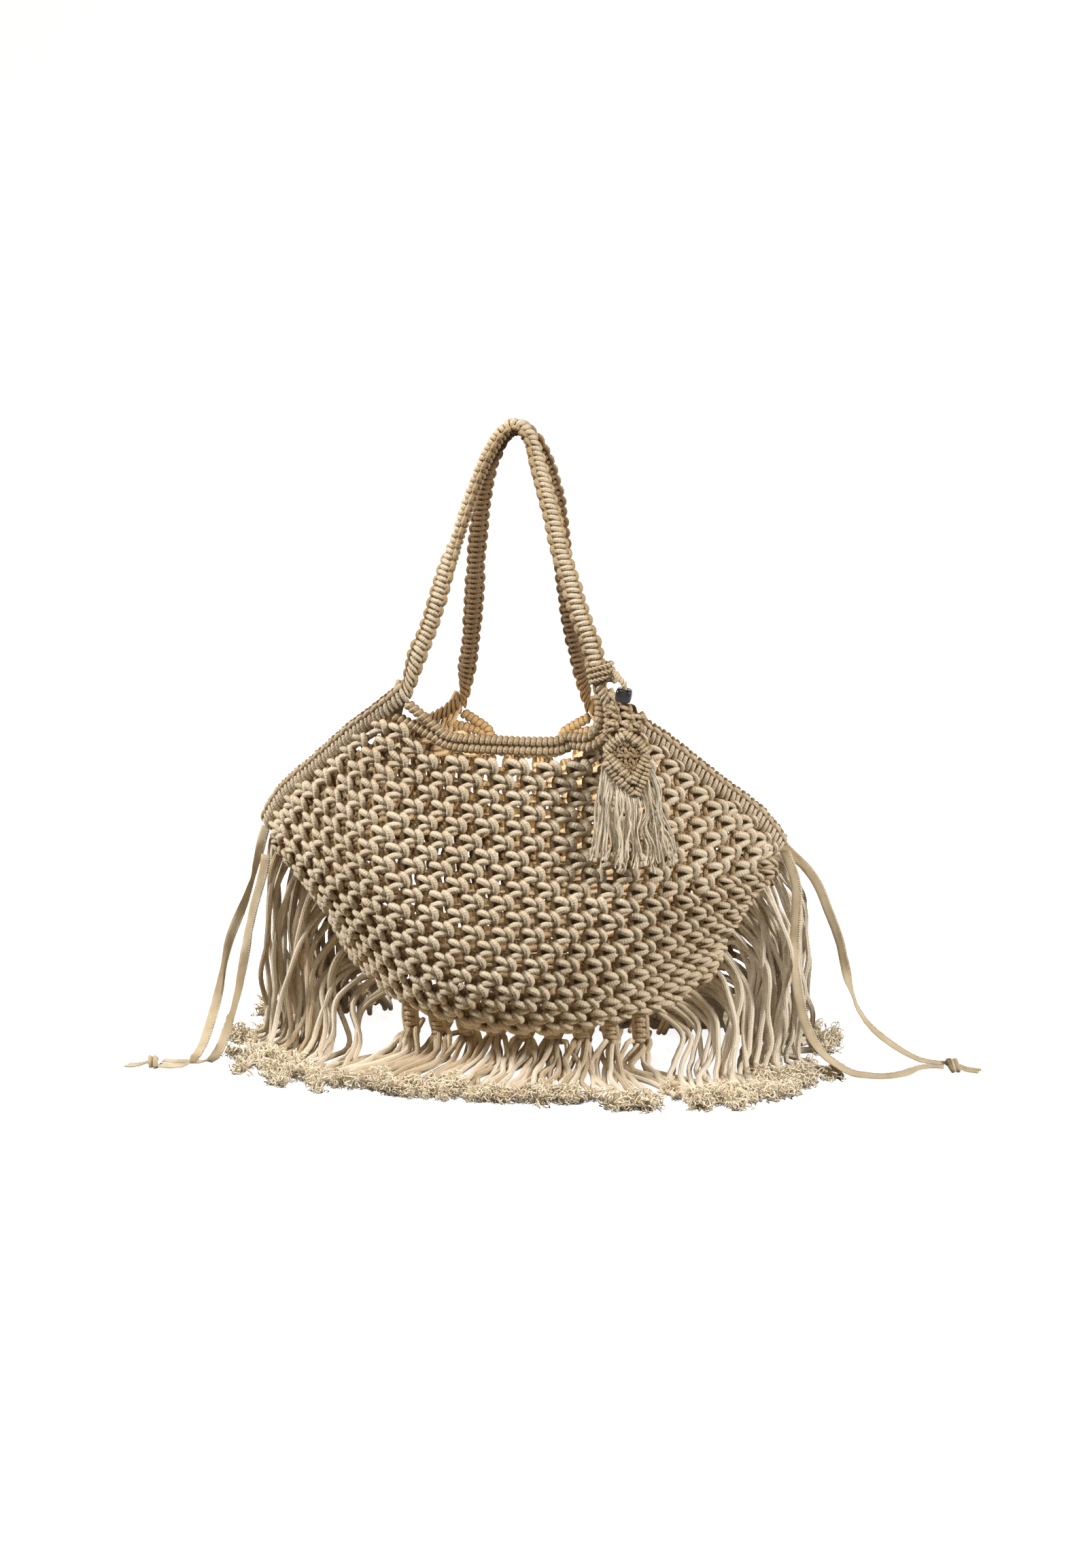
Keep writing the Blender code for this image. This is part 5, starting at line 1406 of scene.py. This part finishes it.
def stackPlaces(front):
    # where each stack hangs from the lowest knots of the net
    panel = "front" if front else "back"
    spots = np.linspace(-150, 150, 121)
    edge = netSurface(panel, spots, np.full(121, netKnot["lowest"]))
    edge = edge[np.argsort(edge[:, 0])]
    for number in range(stack["count"]):
        x = stack["left"] + stack["pitch"] * (number + (0.0 if front else 0.5))
        yield x, placesAlong(x, edge[:, 0], edge)


def makeFringe():
    rng = fringeRng
    routes = {"left_fringe": [], "right_fringe": [], "front_fringe": [], "back_fringe": []}
    for side, node in ((-1, "left_fringe"), (1, "right_fringe")):
        groups = fringe["groups"][side]
        for group in range(groups):
            groupShift = np.array((rng.normal(0, 5.0), rng.normal(0, 6.0), 0.0))
            for index in range(fringe["groupCords"]):
                share = ((group + index * 0.16 + 0.2) / groups) ** 0.85
                routes[node].append(sideCord(side, share, index % 2 == 0, groupShift))
    for node, front in (("front_fringe", True), ("back_fringe", False)):
        for x, top in stackPlaces(front):
            for offset in np.linspace(-6.5, 6.5, fringe["stackCords"][front]):
                routes[node].append(seamCord(x, offset + rng.normal(0, 0.5), front))
    for number, (node, cords) in enumerate(routes.items()):
        # the right fringe gets the painted-light copy of the fringe cotton
        look = paintedLitCotton if node == "right_fringe" else fringeCotton
        swept = sweepCords(node + "Cords", cords, fringe["radius"], fringe["sides"], look, 60 + number)
        tufts = frayEnds(node + "Tufts", cords, 70 + number)
        parts = [swept, tufts]
        if node in ("front_fringe", "back_fringe"):
            parts.append(makeStacks(node + "Stacks", node == "front_fringe"))
        piece = joinPieces(parts, node + "_cords")
        finishPiece(piece, [node])
        print(node, len(cords), "cords", len(piece.data.polygons), "faces")


def makeStacks(name, front):
    # columns of bars under the belly, from the net's lowest knots down to the cords of the fringe
    sign = -1.0 if front else 1.0
    bundle = CordBundle()
    for x, top in stackPlaces(front):
        heights = np.arange(top[2] - 3.5, 18.0, -stack["rise"])
        for level, z in enumerate(heights):
            slope = 0.9 if level % 2 else -0.9
            down = (top[2] - z) / max(top[2] - 18.0, 1.0)
            deep = abs(top[1]) * (1 - down) + 36.0 * down - 2.5
            bar = [(x - 5.0, sign * deep, z + slope), (x - 3.4, sign * (deep + 4), z + slope * 0.6),
                   (x, sign * (deep + 5.2), z), (x + 3.4, sign * (deep + 4), z - slope * 0.6),
                   (x + 5.0, sign * deep, z - slope)]
            bundle.add(smoothRoute(bar, count=7), stack["radius"], 7, hint=(0, 0, 1), shade=0.2 * (level % 3))
        near, far = abs(top[1]), 34.0
        between, halfway = (near + far) / 2, (top[2] + 19) / 2
        for side in (-1, 1):
            inner, outer = x + side * 2.2, x + side * 4.4
            core = [(inner, sign * near, top[2] + 1.0), (inner, sign * between, halfway),
                    (inner, sign * far, 19.0), (inner, sign * 22, 17), (inner, 0, 18)]
            bundle.add(smoothRoute(core, count=12), stack["radius"], 6, hint=(1, 0, 0))
            edge = [(outer, sign * (near + 1.0), top[2]), (x + side * 5.4, sign * (between + 2), halfway),
                    (outer, sign * (far + 1), 18.5)]
            bundle.add(smoothRoute(edge, count=6), stack["radius"] * 0.9, 6, hint=(0, 1, 0))
    return bundle.build(name, cotton)


makeFringe()
print("fringe swept and frayed")


# charm: wrapped cord, bead, knotted leaf and yarn tassel

charm = {
    "bead": (87.5, -87.5, 322.0), "beadWidth": 13.3, "beadHeight": 10.6, "leafTop": (87.5, -87.5, 314.0),
    "lean": 0.08, "twine": 1.1, "twistPitch": 6.5,
    "wrap": (67.0, -67.0, 333.0), "wrapTurns": 3.6, "wrapRise": 17.0, "wrapSide": 9.6, "wrapOut": 7.8,
    "outline": [(-8.0, 1.0), (-11.5, -8.0), (-12.6, -22.0), (-13.5, -38.0), (-8.0, -48.0), (2.0, -60.0),
                (11.5, -70.0), (15.5, -60.0), (19.0, -48.0), (20.5, -36.0), (15.0, -24.0), (11.5, -8.0),
                (8.5, 1.0)],
}


def leafPoint(x, z, out=0.0):
    top = charm["leafTop"]
    return np.array((top[0] + x, top[1] + z * charm["lean"] - out, top[2] + z))


def addTwine(bundle, route, radius, pitch, sides=6):
    # two plies wound round each other along a route
    route = np.asarray(route, float)
    tangents, sidesways = carryFrames(route, (0.2, -0.9, 0.1))
    others = np.cross(tangents, sidesways)
    lengths = runLengths(route)
    for ply in (0, 1):
        turns = 2 * math.pi * lengths / pitch + math.pi * ply
        wound = route + (sidesways * np.cos(turns)[:, None] + others * np.sin(turns)[:, None]) * radius * 0.9
        bundle.add(wound, radius, sides)


def makeWrap():
    centre = np.array(charm["wrap"])
    along, side = unit(np.array((-0.22, 0.12, 0.97))), unit(np.array((0.97, 0.0, 0.22)))
    out = unit(np.cross(along, side))
    bundle = CordBundle()
    turns = np.linspace(-0.6, charm["wrapTurns"] * 2 * math.pi, 150)
    shares = (turns - turns[0]) / (turns[-1] - turns[0])
    square = 1.0 / (abs(np.cos(turns)) ** 3 + abs(np.sin(turns)) ** 3) ** (1 / 3)
    sideways = (np.cos(turns) * square * charm["wrapSide"])[:, None]
    outwards = (np.sin(turns) * square * charm["wrapOut"])[:, None]
    upwards = ((shares - 0.4) * charm["wrapRise"])[:, None]
    coil = centre + side * sideways + out * outwards + along * upwards
    addTwine(bundle, coil, charm["twine"], charm["twistPitch"], 5)
    start = centre + side * 9.0 - out * 5.0 + along * 4.0
    bead = np.array(charm["bead"])
    knotSpot = centre + side * 12.0 - out * 6.0
    drop = smoothRoute([start, knotSpot, (knotSpot + bead) / 2 + np.array((0, -1.5, 4.5)),
                        bead + np.array((0, 0, 9.0)), bead + np.array((0, 0, 3.0)),
                        bead - np.array((0, 0, 4.0)),
                        leafPoint(0, 0.5)], 1.2)
    addTwine(bundle, drop, charm["twine"] * 1.35, charm["twistPitch"] * 1.3, 6)
    piece = bundle.build("charm_twine", cotton)
    finishPiece(piece, ["charm_wrap", "charm_cord"])


def makeBead():
    # a square-sided barrel, bored for the twine and tilted a little
    centre = np.array(charm["bead"])
    half, wide = charm["beadHeight"] / 2, charm["beadWidth"] / 2
    profile = [(2.6, -half * 0.86), (3.4, -half), (wide * 0.72, -half), (wide * 0.9, -half * 0.86),
               (wide, -half * 0.5), (wide * 1.02, 0), (wide, half * 0.5), (wide * 0.9, half * 0.86),
               (wide * 0.72, half), (3.4, half), (2.6, half * 0.86)]
    points, faces = [], []
    sides = 40
    lean = math.radians(-7)
    for index in range(sides):
        turn = 2 * math.pi * index / sides
        square = 1.0 / (abs(math.cos(turn)) ** 4 + abs(math.sin(turn)) ** 4) ** 0.25
        for reach, rise in profile:
            grown = reach * (square if reach > 3.5 else 1.0) * 0.95
            x, z = grown * math.cos(turn), rise
            points.append(centre + np.array((x * math.cos(lean) - z * math.sin(lean), grown * math.sin(turn),
                                             x * math.sin(lean) + z * math.cos(lean))))
    rows = len(profile)
    for index in range(sides):
        after = (index + 1) % sides
        for row in range(rows):
            down = (row + 1) % rows
            faces.append((index * rows + row, after * rows + row, after * rows + down, index * rows + down))
    piece = linkMesh("charm_glossy_bead", points, faces, black)
    finishPiece(piece, ["charm_bead"])


def leafLine(points, pitch):
    # even places along a line on the leaf, with the spin that sets a hitch across it
    points = np.array([(x, z, 0.0) for x, z in points], float)
    even = smoothRoute(points, pitch)
    heading = np.gradient(even, axis=0)
    return [(spot[0], spot[1], math.degrees(math.atan2(run[1], run[0])), 1.0, 1.0)
            for spot, run in zip(even, heading)]


leafRidges = [
    [(-12.5, -36.0), (-6.0, -28.5), (2.5, -22.0)], [(2.5, -22.0), (11.5, -28.0), (19.5, -36.0)],
    [(-12.5, -38.5), (-3.5, -48.0), (8.0, -59.0)], [(19.0, -38.5), (14.5, -48.0), (9.0, -59.0)],
    [(-12.5, -46.0), (-3.5, -56.5), (9.5, -68.0)], [(20.0, -46.0), (17.0, -57.0), (12.0, -68.0)],
]


def makeLeaf():
    low, high = (-26.0, -82.0), (34.0, 14.0)
    xs, zs = np.meshgrid(np.linspace(low[0], high[0], 25), np.linspace(low[1], high[1], 41), indexing="ij")
    bow = 1.8 * np.exp(-((xs - 3) / 14) ** 2 - ((zs + 38) / 22) ** 2)
    grid = np.stack([charm["leafTop"][0] + xs, charm["leafTop"][1] + zs * charm["lean"] - bow,
                     charm["leafTop"][2] + zs], axis=-1)
    guide = Guide("leafGuide", grid, low, high)
    hitch = makeKnot("leafHitch", [
        {"route": [(-0.5, -3.2, -0.4), (-0.2, -2.6, 2.0), (0, 0, 3.4), (0.2, 2.6, 2.0), (0.5, 3.2, -0.4)],
         "radius": 1.62, "sides": 7, "rings": 7}])
    places = [place for ridge in leafRidges for place in leafLine(ridge, 3.3)]
    ridges = guide.lay("leafRidges", hitch, places, cotton, 8.0, 0.08, 81)
    bump = makeKnot("leafBump", [
        {"route": [(-4.4, 2.2, -0.8), (-2.0, 2.6, 2.0), (1.6, 1.0, 2.4), (3.8, -0.6, -0.2)],
         "radius": 1.95, "sides": 7, "rings": 6},
        {"route": [(2.6, 3.8, -0.4), (4.2, 1.4, 2.0), (4.0, -1.8, 1.6), (2.0, -4.2, -0.6)],
         "radius": 1.85, "sides": 7, "rings": 6},
        {"route": [(2.4, -1.8, 0.2), (-1.4, -2.8, 2.1), (-4.6, -3.8, -0.4)],
         "radius": 1.85, "sides": 7, "rings": 5}])
    grain = []
    for row, z in enumerate(np.arange(-3.5, -22.0, -6.4)):
        for x in (-0.9, 0.3, 1.35) if row else (-0.9, 0.3):
            grain.append((x * 8.4 + (row % 2) * 2.0 - 1.0, z, 0.0, 1.05, 1.0))
    for row, z in enumerate(np.arange(-27.0, -58.0, -4.4)):
        for x in np.arange(-10, 18, 6.0):
            spot = x + (row % 2) * 3.0
            if insideLeaf(spot, z, 7.0):
                grain.append((spot, z, 45.0 if row % 2 else -45.0, 0.72, 0.72))
    field = guide.lay("leafField", bump, grain, cotton, 14.0, 0.08, 82)
    guide.clear()
    outline = smoothRoute([(x, z, 0) for x, z in charm["outline"] + charm["outline"][:1]], 2.2)[:-1]
    points = [leafPoint(x * 0.94, z * 0.985 - 0.5, -1.6) for x, z, none in outline]
    points += [leafPoint(x * 0.94, z * 0.985 - 0.5, 0.8) for x, z, none in outline]
    count = len(outline)
    faces = [(side, (side + 1) % count, (side + 1) % count + count, side + count) for side in range(count)]
    faces += [tuple(range(count)), tuple(reversed(range(count, 2 * count)))]
    # painted shade: the body carries no rise, so it gets the full painted recess shade under its ridges
    body = linkMesh("leafBody", points, faces, cotton, {
        "turn": np.tile((1.0, 0.0, 0.0), (2 * count, 1)), "along": np.zeros(2 * count),
        "shade": np.full(2 * count, 0.1)})
    piece = joinPieces([ridges, field, body], "charm_knotted_leaf")
    finishPiece(piece, ["charm_leaf"])


def insideLeaf(x, z, margin):
    outline = charm["outline"]
    inside = False
    for (x0, z0), (x1, z1) in zip(outline, outline[1:] + outline[:1]):
        if (z0 > z) != (z1 > z) and x < (x1 - x0) * (z - z0) / (z1 - z0) + x0:
            inside = not inside
    near = min(math.hypot(x - px, z - pz) for px, pz in outline)
    return inside and near > margin * 0.6


tassel = {
    "yarns": 112, "radius": 0.6, "left": -25.0, "right": 44.0, "bottom": -125.0, "clumps": 17, "drawn": 0.62,
    "edge": [(-13.0, -43.0, 0), (-9.5, -50.0, 0), (1.0, -62.0, 0), (11.0, -70.5, 0), (15.0, -62.0, 0),
             (18.5, -52.0, 0), (19.5, -42.0, 0)],
}


def makeTassel():
    rng = np.random.default_rng(91)
    edge = smoothRoute(tassel["edge"], count=100)
    routes = []
    count = tassel["clumps"]
    clumps = [(rng.normal(0, 2.2), rng.normal(0, 2.6), rng.normal(0, 1.8)) for clump in range(count)]
    for index in range(tassel["yarns"]):
        share = min(max((index + rng.uniform(-0.4, 0.4)) / tassel["yarns"], 0.0), 1.0)
        clump = int(share * (count - 0.01))
        gather, sway, depth = clumps[clump]
        middle = (clump + 0.5) / count
        spot = edge[int(share * 99)]
        drawn = share + (middle - share) * tassel["drawn"]
        endX = tassel["left"] + (tassel["right"] - tassel["left"]) * drawn + gather + rng.normal(0, 1.7)
        endZ = tassel["bottom"] + rng.normal(0, 3.5) + 5.0 * abs(share - 0.5)
        side = -1 if share < 0.4 else (1 if share > 0.6 else 0)
        routes.append(smoothRoute([
            leafPoint(spot[0] * 0.93, spot[1] + 2.0, 0.0),
            leafPoint(spot[0] + side * 2.0, spot[1] - 3.0, 1.8 + rng.uniform(-0.6, 0.9)),
            leafPoint(spot[0] * 0.72 + endX * 0.28 + side * 2.6 + sway * 0.6 + rng.normal(0, 1.0),
                      spot[1] * 0.72 + endZ * 0.28, 1.4 + depth * 0.6 + rng.normal(0, 1.0)),
            leafPoint(spot[0] * 0.45 + endX * 0.55 - sway * 0.7 + rng.normal(0, 1.6),
                      spot[1] * 0.48 + endZ * 0.52, depth + rng.normal(0, 1.3)),
            leafPoint(spot[0] * 0.15 + endX * 0.85 + sway * 0.5 + rng.normal(0, 1.6),
                      spot[1] * 0.22 + endZ * 0.78, depth + rng.normal(0, 1.3)),
            leafPoint(endX, endZ, depth + rng.normal(0, 1.6))], count=15))
    piece = sweepCords("charm_yarn_tassel", routes, tassel["radius"], 5, yarn, 92)
    finishPiece(piece, ["charm_tassel"])


makeWrap()
makeBead()
makeLeaf()
makeTassel()
print("charm hung")
